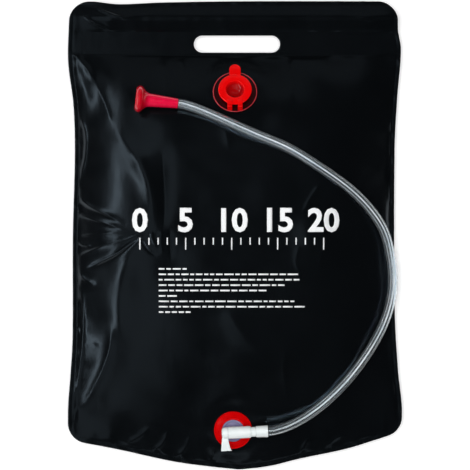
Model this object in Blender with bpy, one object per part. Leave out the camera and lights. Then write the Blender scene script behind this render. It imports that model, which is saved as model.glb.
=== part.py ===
"""A camp shower bag, lying on its back, in metres with +Z up.

Two sheets of black PVC film are welded together round their edge. A plastic tube lies in the sleeve above
the hand slot, a wide filler with a hinged lid sits near the top, and a plug cock near the bottom feeds a
clear hose that ends in a trumpet-shaped shower head.
+Y points to the top of the bag, +X to the right as seen from the printed front.
"""

import math

import bmesh
import bpy
from mathutils import Matrix, Vector
from mathutils.geometry import delaunay_2d_cdt

# Bag
BAG_WIDTH = 0.414
BAG_HEIGHT = 0.580
FILM_THICKNESS = 0.0005
WELD_GAP = 0.0003
BORDER_WIDTH = 0.005
CORNER_RADIUS = 0.025
BOTTOM_DROP = 0.047
TOP_DIP = 0.0035
FRONT_RISE = 0.046
TOP_SHOULDER = 0.120
SIDE_SHOULDER = 0.110
BOTTOM_SHOULDER = 0.300
BACK_SHOULDER = 0.050

# Half widths against depth below the top edge, the bottom edge's lift and the top edge's dip across the bag
LEFT_EDGE_SHARES = (
    (0.0, 0.985), (0.093, 1.0), (0.14, 0.997), (0.22, 0.968), (0.32, 0.959),
    (0.5, 0.971), (0.72, 0.973), (0.8, 0.986), (0.87, 1.0), (1.0, 1.0),
)
RIGHT_EDGE_SHARES = (
    (0.0, 0.975), (0.06, 0.976), (0.104, 0.994), (0.21, 0.971), (0.32, 0.956),
    (0.66, 0.957), (0.79, 0.977), (0.87, 1.0), (1.0, 1.0),
)
BOTTOM_LIFT_SHARES = (
    (-1.0, 0.77), (-0.71, 0.53), (-0.35, 0.19), (0.0, 0.0), (0.05, 0.0),
    (0.21, 0.087), (0.39, 0.28), (0.66, 0.53), (0.84, 0.77), (1.0, 1.0),
)
TOP_DIP_SHARES = ((-1.0, 0.0), (-0.86, 0.0), (-0.7, 1.0), (-0.45, 0.45), (0.0, 0.0), (1.0, 0.0))

# Header: a sleeve round the handle tube, then a flat band with the hand slot
TUBE_RADIUS = 0.007
TUBE_WALL = 0.0015
TUBE_LENGTH = 0.310
TUBE_OFFSET = 0.010
TUBE_CLEARANCE = 0.0005
SLEEVE_TOP_WELD = 0.004
SLEEVE_DEPTH = 0.0385
SLEEVE_END_MARGIN = 0.006
SLEEVE_MOUTH_SHARE = 0.5
HEADER_DEPTH = 0.0665
WELD_SAG = 0.003
SLOT_LENGTH = 0.107
SLOT_WIDTH = 0.0212
SLOT_DEPTH = 0.0530
SLOT_OFFSET = 0.0024

# Filler: flange and neck, hinged lid with a hollow plug
FILLER_OFFSET = 0.0
FILLER_DEPTH = 0.1151
FILLER_LEAN = math.radians(22)
FLANGE_RADIUS = 0.02725
FLANGE_THICKNESS = 0.0013
FLANGE_BEAD = 0.0007
NECK_RADIUS = 0.0172
NECK_BORE_RADIUS = 0.0150
NECK_HEIGHT = 0.0073
NECK_DEPTH = 0.0060
LID_RADIUS = 0.0205
LID_THICKNESS = 0.0022
PLUG_CLEARANCE = 0.0004
PLUG_TAPER = 0.0014
PLUG_DEPTH = 0.0066
RECESS_RADIUS = 0.0111
RECESS_TAPER = 0.0020
PLUG_FLOOR = 0.0014
TAB_WIDTH = 0.0140
TAB_REACH = 0.0135
STRAP_WIDTH = 0.0060
STRAP_SPACING = 0.0127
STRAP_THICKNESS = 0.0017
STRAP_SPLAY = 0.0022
HINGE_REACH = 0.0226
HINGE_BEAD_RADIUS = 0.0012
LUG_RISE = 0.0008
LUG_LENGTH = 0.0075
LUG_INSET = 0.0003
PLUG_TAPER_SHARE = 0.33

# Outlet: red base welded to the film, grey seat, seal
OUTLET_OFFSET = -0.0024
OUTLET_HEIGHT = 0.0500
OUTLET_LEAN = math.radians(8)
BASE_RADIUS = 0.0235
BASE_THICKNESS = 0.0014
BASE_BEAD = 0.0008
SOCKET_RADIUS = 0.0160
SOCKET_HEIGHT = 0.0056
SOCKET_FLOOR = 0.0024
SEAT_RADIUS = 0.0138
SEAT_THICKNESS = 0.0030
SEAT_LIP_WIDTH = 0.0022
BASE_BORE_RADIUS = 0.0080
BASE_SPIGOT_RADIUS = 0.0100
BASE_SPIGOT_DEPTH = 0.0080
SEAL_HEIGHT = 0.0026
SEAL_DEPTH = 0.0010

# Tap: a pipe across the outlet, a hollow plug turned by a fan-shaped lever, and the hose collar
TAP_AXIS_HEIGHT = 0.0150
TAP_TURN = math.radians(2.5)
TAP_EDGE_EASE = 0.0007
PIPE_RADIUS = 0.00735
PIPE_LEFT = 0.0060
PIPE_RIGHT = 0.0218
PIPE_NECK_RADIUS = 0.00595
PIPE_NECK_LENGTH = 0.0061
BARB_RADIUS = 0.0036
BARB_BORE_RADIUS = 0.0024
STEM_RADIUS = 0.0056
STEM_BORE_RADIUS = 0.0036
STEM_DEPTH = 0.0058
CHAMBER_RADIUS = 0.0051
CHAMBER_DEPTH = 0.0090
COCK_CLEARANCE = 0.0003
COCK_BORE_RADIUS = 0.0030
COCK_END_WALL = 0.0022
LEVER_HEAD_RADIUS = 0.0070
LEVER_HEAD_LENGTH = 0.0076
LEVER_THICKNESS = 0.0034
LEVER_REACH = 0.0225
LEVER_TIP_WIDTH = 0.0138
LEVER_TIP_SHIFT = 0.0012
LEVER_WEB = 0.0014
LEVER_RIM = 0.0018
LEVER_NECK_SHARE = 0.33
LEVER_CURVE_SHARE = 0.5
COLLAR_LENGTH = 0.0147
COLLAR_RADIUS = 0.0073
COLLAR_TAPER = 0.0005
COLLAR_CLEARANCE = 0.0004

# Hose and shower head
HOSE_RADIUS = 0.00575
HEAD_TAIL_OFFSET = -0.0690
HEAD_TAIL_DEPTH = 0.1296
HEAD_TAIL_LIFT = 0.0035
HEAD_TURN = math.radians(173.4)
HEAD_FACE_LIFT = 0.0018
HEAD_LENGTH = 0.0525
HEAD_RIM_RADIUS = 0.0165
HEAD_TAIL_RADIUS = 0.0061
HEAD_GRIP_RADIUS = 0.0083
HEAD_BORE_RADIUS = 0.0038
HEAD_RIM_THICKNESS = 0.0050
HEAD_FLARE_LENGTH = 0.0105
HEAD_FLARE_SHARES = ((0.4, 0.1), (0.75, 0.33))
BELL_DEPTH = 0.0075
BELL_THROAT_SHARES = (0.25, 0.17)
ROSE_RADIUS = 0.0137
ROSE_THICKNESS = 0.0016
ROSE_RECESS = 0.0012
ROSE_LEDGE = 0.0010
ROSE_CROWN = 0.0006
ROSE_HOLE_RADIUS = 0.0007
ROSE_HOLE_STEPS = 8
ROSE_RINGS = ((1, 0.0), (7, 0.42), (13, 0.78))

# Shared allowances
SEAT_GAP = 0.0003
OVERRUN = 0.002
MERGE = 0.000001
PATCH_MARGIN = 0.007
PATCH_BLEND = 0.011
FILM_HOLE_CLEARANCE = 0.0005
ROUND_STEPS = 32
SMALL_STEPS = 20
ARC_STEPS = 6
RIM_STEPS = 4
RING_POINTS = 28
ROUTE_STEPS = 32
SHARP_ANGLE = math.radians(35)

# Spacing of the points that the sheets are drawn from
FRONT_SPACING = 0.0165
BACK_SPACING = 0.024
EDGE_SPACING = 0.038
OUTLINE_MARGIN = 0.0022
RING_MARGIN_SHARE = 0.33
BAND_ROW_SHARES = (0.33, 0.67, 1.0)
SLEEVE_ROW_SHARES = (-1.0, -0.8, -0.5, -0.2, 0.2, 0.5, 0.8, 1.0)

# The hose's route, from the tap's collar over the right edge to the shower head
HOSE_ROUTE = (
    (0.0408, -0.2402, 0.0366),
    (0.0528, -0.2397, 0.0366),
    (0.0668, -0.2345, 0.0348),
    (0.0905, -0.2215, 0.0315),
    (0.1187, -0.1986, 0.0328),
    (0.1445, -0.1710, 0.0326),
    (0.1693, -0.1362, 0.0286),
    (0.1849, -0.1070, 0.0220),
    (0.1933, -0.0800, 0.0172),
    (0.1963, -0.0553, 0.0157),
    (0.1928, -0.0275, 0.0172),
    (0.1846, 0.0052, 0.0238),
    (0.1653, 0.0328, 0.0372),
    (0.1388, 0.0582, 0.0502),
    (0.1019, 0.0834, 0.0602),
    (0.0637, 0.1071, 0.0615),
    (0.0303, 0.1205, 0.0605),
    (-0.0098, 0.1385, 0.0580),
    (-0.0424, 0.1530, 0.0533),
    (-0.0571, 0.1590, 0.0523),
    (-0.0690, 0.1604, 0.0530),
)

HALF_WIDTH = BAG_WIDTH / 2
TOP_Y = BAG_HEIGHT / 2
SLEEVE_RADIUS = TUBE_RADIUS + TUBE_CLEARANCE
BACK_DEPTH = SLEEVE_RADIUS
EDGE_Z = BACK_DEPTH + FILM_THICKNESS + WELD_GAP / 2
SLEEVE_HALF = (SLEEVE_DEPTH - SLEEVE_TOP_WELD) / 2
TUBE_Y = TOP_Y - SLEEVE_TOP_WELD - SLEEVE_HALF
FILLER_PLACE = (FILLER_OFFSET, TOP_Y - FILLER_DEPTH)
OUTLET_PLACE = (OUTLET_OFFSET, OUTLET_HEIGHT - TOP_Y)
HEAD_TAIL_PLACE = (HEAD_TAIL_OFFSET, TOP_Y - HEAD_TAIL_DEPTH)
NECK_HOLE_RADIUS = NECK_RADIUS + FILM_HOLE_CLEARANCE
BASE_HOLE_RADIUS = BASE_SPIGOT_RADIUS + FILM_HOLE_CLEARANCE
COLLAR_LEFT = PIPE_RIGHT + PIPE_NECK_LENGTH + SEAT_GAP
HOSE_START = COLLAR_LEFT + COLLAR_LENGTH + SEAT_GAP


def clear_scene():
    for obj in list(bpy.data.objects):
        bpy.data.objects.remove(obj, do_unlink=True)


def plastic(name, color, roughness, alpha=1.0):
    material = bpy.data.materials.new(name)
    material.use_nodes = True
    shader = material.node_tree.nodes["Principled BSDF"]
    shader.inputs["Base Color"].default_value = (*color, 1.0)
    shader.inputs["Roughness"].default_value = roughness
    shader.inputs["Metallic"].default_value = 0.0
    shader.inputs["Alpha"].default_value = alpha
    return material


def materials():
    return {
        "film": plastic("black_pvc_film", (0.012, 0.014, 0.017), 0.38),
        "back": plastic("black_pvc_back_film", (0.011, 0.012, 0.014), 0.42),
        "tube": plastic("grey_tube_plastic", (0.35, 0.35, 0.35), 0.5),
        "red": plastic("red_soft_pvc", (0.75, 0.006, 0.012), 0.3),
        "lid": plastic("bright_red_lid", (0.85, 0.004, 0.006), 0.35),
        "seat": plastic("blue_grey_seat", (0.16, 0.16, 0.25), 0.4),
        "rubber": plastic("black_rubber_seal", (0.02, 0.02, 0.02), 0.7),
        "white": plastic("white_tap_plastic", (0.85, 0.87, 0.86), 0.35),
        "hose": plastic("clear_hose", (0.6, 0.66, 0.68), 0.15, 0.5),
        "head": plastic("red_head_plastic", (0.7, 0.008, 0.03), 0.25),
    }


def smooth_through(points, at):
    """A smooth curve through the points, held at its end values outside them."""
    if at <= points[0][0]:
        return points[0][1]
    if at >= points[-1][0]:
        return points[-1][1]
    index = max(i for i in range(len(points) - 1) if points[i][0] <= at)

    def slope(i):
        before, after = points[max(i - 1, 0)], points[min(i + 1, len(points) - 1)]
        return (after[1] - before[1]) / (after[0] - before[0])

    (x0, y0), (x1, y1) = points[index], points[index + 1]
    width = x1 - x0
    t = (at - x0) / width
    stay = (1 + 2 * t) * (1 - t) ** 2 * y0 + t * t * (3 - 2 * t) * y1
    lean = t * (1 - t) ** 2 * slope(index) + t * t * (t - 1) * slope(index + 1)
    return stay + width * lean


def smooth_step(share):
    share = min(max(share, 0.0), 1.0)
    return share * share * (3 - 2 * share)


def left_edge(y):
    return -HALF_WIDTH * smooth_through(LEFT_EDGE_SHARES, (TOP_Y - y) / BAG_HEIGHT)


def right_edge(y):
    return HALF_WIDTH * smooth_through(RIGHT_EDGE_SHARES, (TOP_Y - y) / BAG_HEIGHT)


def bottom_edge(x):
    return -TOP_Y + BOTTOM_DROP * smooth_through(BOTTOM_LIFT_SHARES, x / HALF_WIDTH)


def top_edge(x):
    return TOP_Y - TOP_DIP * smooth_through(TOP_DIP_SHARES, x / HALF_WIDTH)


def header_line(x):
    """The weld below the hand slot, where the water chamber starts."""
    return TOP_Y - HEADER_DEPTH - WELD_SAG * (1 - (x / HALF_WIDTH) ** 2)


def sleeve_line():
    return TOP_Y - SLEEVE_DEPTH


def rise_share(distance, shoulder):
    """How far film that is welded at distance zero has risen, levelling out past its shoulder."""
    share = min(max(distance / shoulder, 0.0), 1.0)
    return 1 - (1 - share) ** 2


def chamber_share(x, y, top, side, bottom):
    from_left = x - left_edge(y) - BORDER_WIDTH
    from_right = right_edge(y) - x - BORDER_WIDTH
    from_bottom = y - bottom_edge(x) - BORDER_WIDTH
    from_top = header_line(x) - y
    sides = rise_share(from_left, side) * rise_share(from_right, side)
    return sides * rise_share(from_top, top) * rise_share(from_bottom, bottom)


def free_front_rise(x, y):
    return FRONT_RISE * chamber_share(x, y, TOP_SHOULDER, SIDE_SHOULDER, BOTTOM_SHOULDER)


def sleeve_rise(x, y):
    """Half the thickness of the sleeve: film round the tube, then straight to both welds."""
    away = abs(y - TUBE_Y)
    if away >= SLEEVE_HALF:
        return 0.0
    touch = SLEEVE_RADIUS**2 / SLEEVE_HALF
    if away <= touch:
        rise = math.sqrt(SLEEVE_RADIUS**2 - away**2)
    else:
        top = math.sqrt(SLEEVE_RADIUS**2 - touch**2)
        rise = top * (SLEEVE_HALF - away) / (SLEEVE_HALF - touch)
    tube_end = TUBE_LENGTH / 2 + SLEEVE_END_MARGIN
    past = (abs(x - TUBE_OFFSET) - tube_end) / (HALF_WIDTH - tube_end)
    return rise * (1 - (1 - SLEEVE_MOUTH_SHARE) * smooth_step(past))


class Fitting:
    """A rigid fitting on the front film, which lies flat and tilted under it."""

    def __init__(self, place, lean, radius, hole_radius):
        self.x, self.y = place
        self.lean = lean
        self.slope = -math.tan(lean)
        self.flat = radius + PATCH_MARGIN
        self.hole_radius = hole_radius
        self.rise = free_front_rise(self.x, self.y)

    def film_rise(self, x, y, rise):
        across = (y - self.y) / math.cos(self.lean)
        away = math.hypot(x - self.x, across)
        share = 1 - smooth_step((away - self.flat) / PATCH_BLEND)
        return rise + share * (self.rise + self.slope * (y - self.y) - rise)

    def ring(self, radius, turn):
        points = []
        for i in range(RING_POINTS):
            angle = 2 * math.pi * (i + turn) / RING_POINTS
            along = radius * math.sin(angle) * math.cos(self.lean)
            points.append((self.x + radius * math.cos(angle), self.y + along))
        return points

    def holds(self, x, y, radius):
        return math.hypot(x - self.x, (y - self.y) / math.cos(self.lean)) < radius

    def frame(self):
        """Origin on the film's outer face, Z out of it along the fitting's axis."""
        height = EDGE_Z + WELD_GAP / 2 + self.rise + FILM_THICKNESS
        return Matrix.Translation((self.x, self.y, height)) @ Matrix.Rotation(-self.lean, 4, "X")


FILLER = Fitting(FILLER_PLACE, FILLER_LEAN, FLANGE_RADIUS, NECK_HOLE_RADIUS)
OUTLET = Fitting(OUTLET_PLACE, -OUTLET_LEAN, BASE_RADIUS, BASE_HOLE_RADIUS)


def front_inner(x, y):
    """Height of the front film's inner face."""
    if y > sleeve_line():
        rise = sleeve_rise(x, y)
    elif y > header_line(x):
        rise = 0.0
    else:
        rise = free_front_rise(x, y)
        for fitting in (FILLER, OUTLET):
            rise = fitting.film_rise(x, y, rise)
    return EDGE_Z + WELD_GAP / 2 + rise


def back_inner(x, y):
    """Height of the back film's inner face."""
    if y > sleeve_line():
        depth = sleeve_rise(x, y)
    elif y > header_line(x):
        depth = 0.0
    else:
        depth = BACK_DEPTH * chamber_share(x, y, BACK_SHOULDER, BACK_SHOULDER, BACK_SHOULDER)
    return EDGE_Z - WELD_GAP / 2 - depth


def rounded_corner(before, corner, after, radius):
    """Points of an arc that rounds the corner between two straight sides."""
    before, corner, after = Vector(before), Vector(corner), Vector(after)
    side_a, side_b = (before - corner).normalized(), (after - corner).normalized()
    half = side_a.angle(side_b) / 2
    centre = corner + (side_a + side_b).normalized() * radius / math.sin(half)
    start = corner + side_a * radius / math.tan(half) - centre
    end = corner + side_b * radius / math.tan(half) - centre
    turn = start.angle_signed(end)
    spokes = [start.copy() for _ in range(ARC_STEPS + 1)]
    for i, spoke in enumerate(spokes):
        spoke.rotate(Matrix.Rotation(-turn * i / ARC_STEPS, 2))
    return [tuple(centre + spoke) for spoke in spokes]


def between(start, end, count):
    return [start + (end - start) * i / count for i in range(1, count)]


def bag_outline():
    """The bag's outline, anticlockwise from the bottom left corner."""
    low_left, low_right = bottom_edge(-HALF_WIDTH), bottom_edge(HALF_WIDTH)
    across, up = round(BAG_WIDTH / EDGE_SPACING), round(BAG_HEIGHT / EDGE_SPACING)
    sides = [
        [(x, bottom_edge(x)) for x in between(-HALF_WIDTH, HALF_WIDTH, across)],
        [(right_edge(y), y) for y in between(low_right, TOP_Y, up)],
        [(x, top_edge(x)) for x in between(right_edge(TOP_Y), left_edge(TOP_Y), across)],
        [(left_edge(y), y) for y in between(TOP_Y, low_left, up)],
    ]
    corners = [
        (HALF_WIDTH, low_right),
        (right_edge(TOP_Y), TOP_Y),
        (left_edge(TOP_Y), TOP_Y),
        (-HALF_WIDTH, low_left),
    ]
    outline = []
    for index, corner in enumerate(corners):
        side, following = sides[index], sides[(index + 1) % len(sides)]
        outline += side
        outline += rounded_corner(side[-1], corner, following[0], CORNER_RADIUS)
    return outline


def circle(centre, radius, count):
    """Points round a circle, or its centre alone where the radius is zero."""
    turns = [2 * math.pi * i / count for i in range(count)]
    return [(centre[0] + radius * math.cos(turn), centre[1] + radius * math.sin(turn)) for turn in turns]


def slot_outline():
    """The hand slot, with full round ends."""
    radius = SLOT_WIDTH / 2
    straight = SLOT_LENGTH / 2 - radius
    y = TOP_Y - SLOT_DEPTH
    points = []
    for side, start in ((1, -math.pi / 2), (-1, math.pi / 2)):
        for i in range(2 * ARC_STEPS + 1):
            angle = start + math.pi * i / (2 * ARC_STEPS)
            points.append(
                (SLOT_OFFSET + side * straight + radius * math.cos(angle), y + radius * math.sin(angle))
            )
    return points


def inside(point, outline):
    x, y = point
    odd = False
    for (x0, y0), (x1, y1) in zip(outline, outline[1:] + outline[:1]):
        if (y0 > y) != (y1 > y) and x < x0 + (y - y0) * (x1 - x0) / (y1 - y0):
            odd = not odd
    return odd


def far_from(point, outline, margin):
    spot = Vector(point)
    for start, end in zip(outline, outline[1:] + outline[:1]):
        side = Vector(end) - Vector(start)
        share = min(max((spot - Vector(start)).dot(side) / side.length_squared, 0.0), 1.0)
        if (spot - Vector(start) - side * share).length < margin:
            return False
    return True


def grid_rows(x, spacing):
    """Heights up the bag at which the sheet has points: chamber, band and sleeve."""
    bottom, line = bottom_edge(x) + BORDER_WIDTH, header_line(x)
    count = round((BAG_HEIGHT - HEADER_DEPTH) / spacing)
    rows = [bottom + (line - bottom) * i / count for i in range(count + 1)]
    rows += [line + share * (sleeve_line() - line) for share in BAND_ROW_SHARES]
    touch = SLEEVE_RADIUS**2 / SLEEVE_HALF
    reach = math.sqrt(SLEEVE_RADIUS**2 - touch**2)
    rows += [TUBE_Y + share * reach for share in SLEEVE_ROW_SHARES]
    rows += [TUBE_Y + SLEEVE_HALF]
    return rows


def grid_points(spacing):
    count = round(BAG_WIDTH / spacing)
    points = []
    for column in range(count + 1):
        share = column / count
        for nominal, y in zip(grid_rows(0.0, spacing), grid_rows((2 * share - 1) * HALF_WIDTH, spacing)):
            left = left_edge(nominal) + BORDER_WIDTH
            right = right_edge(nominal) - BORDER_WIDTH
            points.append((left + (right - left) * share, y))
    return points


def sheet_points(spacing, outline, fittings):
    """Points inside the sheet, clear of its edges, with rings round each fitting."""
    slot = slot_outline()
    kept = []
    for point in grid_points(spacing):
        clear = all(not f.holds(*point, f.flat + PATCH_BLEND + RING_MARGIN_SHARE * spacing) for f in fittings)
        clear = clear and inside(point, outline) and far_from(point, outline, OUTLINE_MARGIN)
        if clear and not inside(point, slot) and far_from(point, slot, OUTLINE_MARGIN):
            kept.append(point)
    for fitting in fittings:
        for half_step in range(3):
            ring = fitting.ring(fitting.flat + half_step * PATCH_BLEND / 2, half_step / 2)
            kept += [p for p in ring if inside(p, outline) and far_from(p, outline, OUTLINE_MARGIN)]
    return kept


def flat_triangles(outline, holes, points):
    """Points and triangles of a flat plate with an outline, holes and further points inside it."""
    loops = [outline, *holes]
    corners, edges = [], []
    for loop in loops:
        first = len(corners)
        corners += loop
        edges += [(first + i, first + (i + 1) % len(loop)) for i in range(len(loop))]
    found = delaunay_2d_cdt([Vector(p) for p in corners + points], edges, [], 0, MERGE)
    flat = [tuple(p) for p in found[0]]
    triangles = []
    for a, b, c in found[2]:
        middle = tuple((Vector(flat[a]) + Vector(flat[b]) + Vector(flat[c])) / 3)
        if inside(middle, outline) and not any(inside(middle, hole) for hole in holes):
            side, other = Vector(flat[b]) - Vector(flat[a]), Vector(flat[c]) - Vector(flat[a])
            triangles.append((a, b, c) if side.cross(other) > 0 else (a, c, b))
    return flat, triangles


def plate(flat, triangles, lower, upper):
    """A closed thin solid between two height functions over a flat triangulation."""
    used = sorted({i for triangle in triangles for i in triangle})
    bm = bmesh.new()
    low = {i: bm.verts.new((*flat[i], lower(*flat[i]))) for i in used}
    high = {i: bm.verts.new((*flat[i], upper(*flat[i]))) for i in used}
    directed = set()
    for a, b, c in triangles:
        bm.faces.new((high[a], high[b], high[c]))
        bm.faces.new((low[a], low[c], low[b]))
        directed |= {(a, b), (b, c), (c, a)}
    for a, b in sorted(directed):
        if (b, a) not in directed:
            bm.faces.new((low[a], low[b], high[b], high[a]))
    return bm


def finish_object(name, mesh_builder, material, parent=None, place=(0, 0, 0), smooth=True):
    mesh = bpy.data.meshes.new(name)
    mesh_builder.to_mesh(mesh)
    mesh_builder.free()
    mesh.materials.append(material)
    if smooth:
        mesh.shade_smooth()
        mesh.set_sharp_from_angle(angle=SHARP_ANGLE)
    obj = bpy.data.objects.new(name, mesh)
    bpy.context.scene.collection.objects.link(obj)
    obj.parent = parent
    obj.location = place
    return obj


def bag_triangles(spacing, fittings):
    """A flat sheet with the bag's outline, its slot and its fittings' holes."""
    outline = bag_outline()
    holes = [slot_outline()] + [fitting.ring(fitting.hole_radius, 0) for fitting in fittings]
    return flat_triangles(outline, holes, sheet_points(spacing, outline, fittings))


def make_sheets(looks):
    front = plate(
        *bag_triangles(FRONT_SPACING, (FILLER, OUTLET)),
        front_inner, lambda x, y: front_inner(x, y) + FILM_THICKNESS,
    )
    finish_object("front_sheet", front, looks["film"])
    back = plate(*bag_triangles(BACK_SPACING, ()), lambda x, y: back_inner(x, y) - FILM_THICKNESS, back_inner)
    finish_object("back_sheet", back, looks["back"])


def turned(profile, steps=ROUND_STEPS):
    """A solid of revolution about Z from a closed profile of (radius, height) points."""
    bm = bmesh.new()
    verts = [bm.verts.new((radius, 0, height)) for radius, height in profile]
    edges = [bm.edges.new((verts[i], verts[(i + 1) % len(verts)])) for i in range(len(verts))]
    bmesh.ops.spin(
        bm, geom=verts + edges, axis=(0, 0, 1), cent=(0, 0, 0), steps=steps,
        angle=2 * math.pi, use_merge=True,
    )
    bmesh.ops.remove_doubles(bm, verts=bm.verts, dist=MERGE)
    on_axis = [e for e in bm.edges if not e.link_faces]
    bmesh.ops.delete(bm, geom=on_axis, context="EDGES")
    bmesh.ops.recalc_face_normals(bm, faces=bm.faces)
    return bm


def prism(outline, low, high):
    """A flat outline in X and Y, extruded from low to high."""
    bm = bmesh.new()
    face = bm.faces.new([bm.verts.new((x, y, low)) for x, y in outline])
    grown = bmesh.ops.extrude_face_region(bm, geom=[face])["geom"]
    moved = [v for v in grown if isinstance(v, bmesh.types.BMVert)]
    bmesh.ops.translate(bm, verts=moved, vec=(0, 0, high - low))
    bmesh.ops.recalc_face_normals(bm, faces=bm.faces)
    return bm


def arc(centre, radius, start, end, steps=ARC_STEPS):
    """Points along an arc, with its angles in degrees."""
    points = []
    for i in range(steps + 1):
        angle = math.radians(start + (end - start) * i / steps)
        points.append((centre[0] + radius * math.cos(angle), centre[1] + radius * math.sin(angle)))
    return points


def helper(name, bm, parent, place=(0, 0, 0)):
    """A shape that only cuts or joins another and isn't part of the object."""
    obj = finish_object(name, bm, bpy.data.materials[0], parent, place, smooth=False)
    obj.hide_render = True
    obj.display_type = "WIRE"
    return obj


def combine(obj, other, operation):
    modifier = obj.modifiers.new(other.name, "BOOLEAN")
    modifier.operation = operation
    modifier.solver = "EXACT"
    modifier.object = other


def frame_object(name, matrix):
    obj = bpy.data.objects.new(name, None)
    bpy.context.scene.collection.objects.link(obj)
    obj.matrix_world = matrix
    return obj


def turn_to_x(bm):
    """Lays a shape that was turned about Z along +X."""
    bmesh.ops.rotate(bm, verts=bm.verts, cent=(0, 0, 0), matrix=Matrix.Rotation(math.radians(90), 3, "Y"))
    return bm


def make_handle_tube(looks):
    inner = TUBE_RADIUS - TUBE_WALL
    half = TUBE_LENGTH / 2
    bm = turn_to_x(turned([(TUBE_RADIUS, -half), (TUBE_RADIUS, half), (inner, half), (inner, -half)], SMALL_STEPS))
    finish_object("handle_tube", bm, looks["tube"], place=(TUBE_OFFSET, TUBE_Y, EDGE_Z))


def make_filler_base(frame, looks):
    """Flange with a beaded rim, neck with a rounded lip, and the spigot inside the bag."""
    low = SEAT_GAP
    top = FLANGE_THICKNESS + low
    lip = (NECK_RADIUS - NECK_BORE_RADIUS) / 2
    middle = NECK_BORE_RADIUS + lip
    profile = [
        (NECK_BORE_RADIUS, -NECK_DEPTH),
        (NECK_RADIUS, -NECK_DEPTH),
        (NECK_RADIUS, low),
        (FLANGE_RADIUS, low),
        *arc((FLANGE_RADIUS - FLANGE_BEAD, top), FLANGE_BEAD, 0, 180, RIM_STEPS),
        (NECK_RADIUS + FLANGE_BEAD, top),
        (NECK_RADIUS, top + FLANGE_BEAD),
        *arc((middle, NECK_HEIGHT - lip), lip, 0, 180, RIM_STEPS),
    ]
    finish_object("filler_base", turned(profile), looks["red"], frame)


def lid_bottom():
    return NECK_HEIGHT + SEAT_GAP


def hinge_place():
    return (0.0, -HINGE_REACH, lid_bottom() + LID_THICKNESS / 2)


def make_filler_lid(frame, looks):
    """Lid disc with its dished hollow plug, pull tab and two hinge lugs, with its origin on the hinge axis."""
    bottom, edge = lid_bottom(), LID_THICKNESS / 2
    top = bottom + LID_THICKNESS
    plug = NECK_BORE_RADIUS - PLUG_CLEARANCE
    floor = bottom - PLUG_DEPTH
    profile = [
        (0.0, floor),
        (plug - PLUG_TAPER, floor),
        (plug, bottom - PLUG_DEPTH * PLUG_TAPER_SHARE),
        (plug, bottom),
        *arc((LID_RADIUS - edge, bottom + edge), edge, -90, 90, RIM_STEPS),
        (RECESS_RADIUS + PLUG_FLOOR / 2, top),
        (RECESS_RADIUS, top - PLUG_FLOOR / 2),
        (RECESS_RADIUS - RECESS_TAPER / 2, floor + 2 * PLUG_FLOOR),
        (RECESS_RADIUS - RECESS_TAPER, floor + PLUG_FLOOR),
        (0.0, floor + PLUG_FLOOR + RECESS_TAPER / 2),
    ]
    x, y, z = hinge_place()
    disc = turned(profile)
    bmesh.ops.translate(disc, verts=disc.verts, vec=(-x, -y, -z))
    lid = finish_object("filler_lid", disc, looks["lid"], frame, hinge_place())

    half = TAB_WIDTH / 2
    tip = HINGE_REACH + LID_RADIUS + TAB_REACH - half
    root = HINGE_REACH + RECESS_RADIUS + PLUG_FLOOR
    tab = [(half, root), *arc((0.0, tip), half, 0, 180), (-half, root)]
    shape = prism(tab, -edge + LUG_INSET, edge - LUG_INSET)
    combine(lid, helper("tab_shape", shape, frame, hinge_place()), "UNION")

    near = HINGE_BEAD_RADIUS + SEAT_GAP
    for name, side in (("left", -1), ("right", 1)):
        middle = side * STRAP_SPACING / 2
        low_x, high_x = middle - STRAP_WIDTH / 2, middle + STRAP_WIDTH / 2
        lug = [(low_x, near), (high_x, near), (high_x, near + LUG_LENGTH), (low_x, near + LUG_LENGTH)]
        shape = prism(lug, -edge + LUG_INSET, edge + LUG_RISE)
        combine(lid, helper(f"lug_shape_{name}", shape, frame, hinge_place()), "UNION")


def make_hinge_straps(frame, looks):
    """Straps that stand on the flange's rim and carry the lid at a round bead along the hinge axis."""
    foot = FLANGE_THICKNESS + 2 * SEAT_GAP + FLANGE_BEAD
    height = hinge_place()[2] - foot
    half = STRAP_THICKNESS / 2
    outline = [
        (-STRAP_SPLAY - half, -height),
        (-STRAP_SPLAY + half, -height),
        *arc((0.0, 0.0), HINGE_BEAD_RADIUS, -50, 230),
    ]
    for name, side in (("left", -1), ("right", 1)):
        bm = prism(outline, -STRAP_WIDTH / 2, STRAP_WIDTH / 2)
        upright = Matrix(((0, 0, 1), (1, 0, 0), (0, 1, 0)))
        bmesh.ops.rotate(bm, verts=bm.verts, cent=(0, 0, 0), matrix=upright)
        x, y, z = hinge_place()
        place = (x + side * STRAP_SPACING / 2, y, z)
        finish_object(f"hinge_strap_{name}", bm, looks["lid"], frame, place)


def make_outlet_base(frame, looks):
    """Flange, conical boss with a recess for the seat, and the spigot inside the bag."""
    low = SEAT_GAP
    top = BASE_THICKNESS + low
    profile = [
        (BASE_BORE_RADIUS, -BASE_SPIGOT_DEPTH),
        (BASE_SPIGOT_RADIUS, -BASE_SPIGOT_DEPTH),
        (BASE_SPIGOT_RADIUS, low),
        (BASE_RADIUS, low),
        *arc((BASE_RADIUS - BASE_BEAD, top), BASE_BEAD, 0, 180, RIM_STEPS),
        (SOCKET_RADIUS + BASE_BEAD, SOCKET_HEIGHT - BASE_BEAD),
        (SOCKET_RADIUS, SOCKET_HEIGHT),
        (SEAT_RADIUS + SEAT_GAP, SOCKET_HEIGHT),
        (SEAT_RADIUS + SEAT_GAP, SOCKET_FLOOR),
        (BASE_BORE_RADIUS, SOCKET_FLOOR),
    ]
    finish_object("outlet_base", turned(profile), looks["red"], frame)


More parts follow.
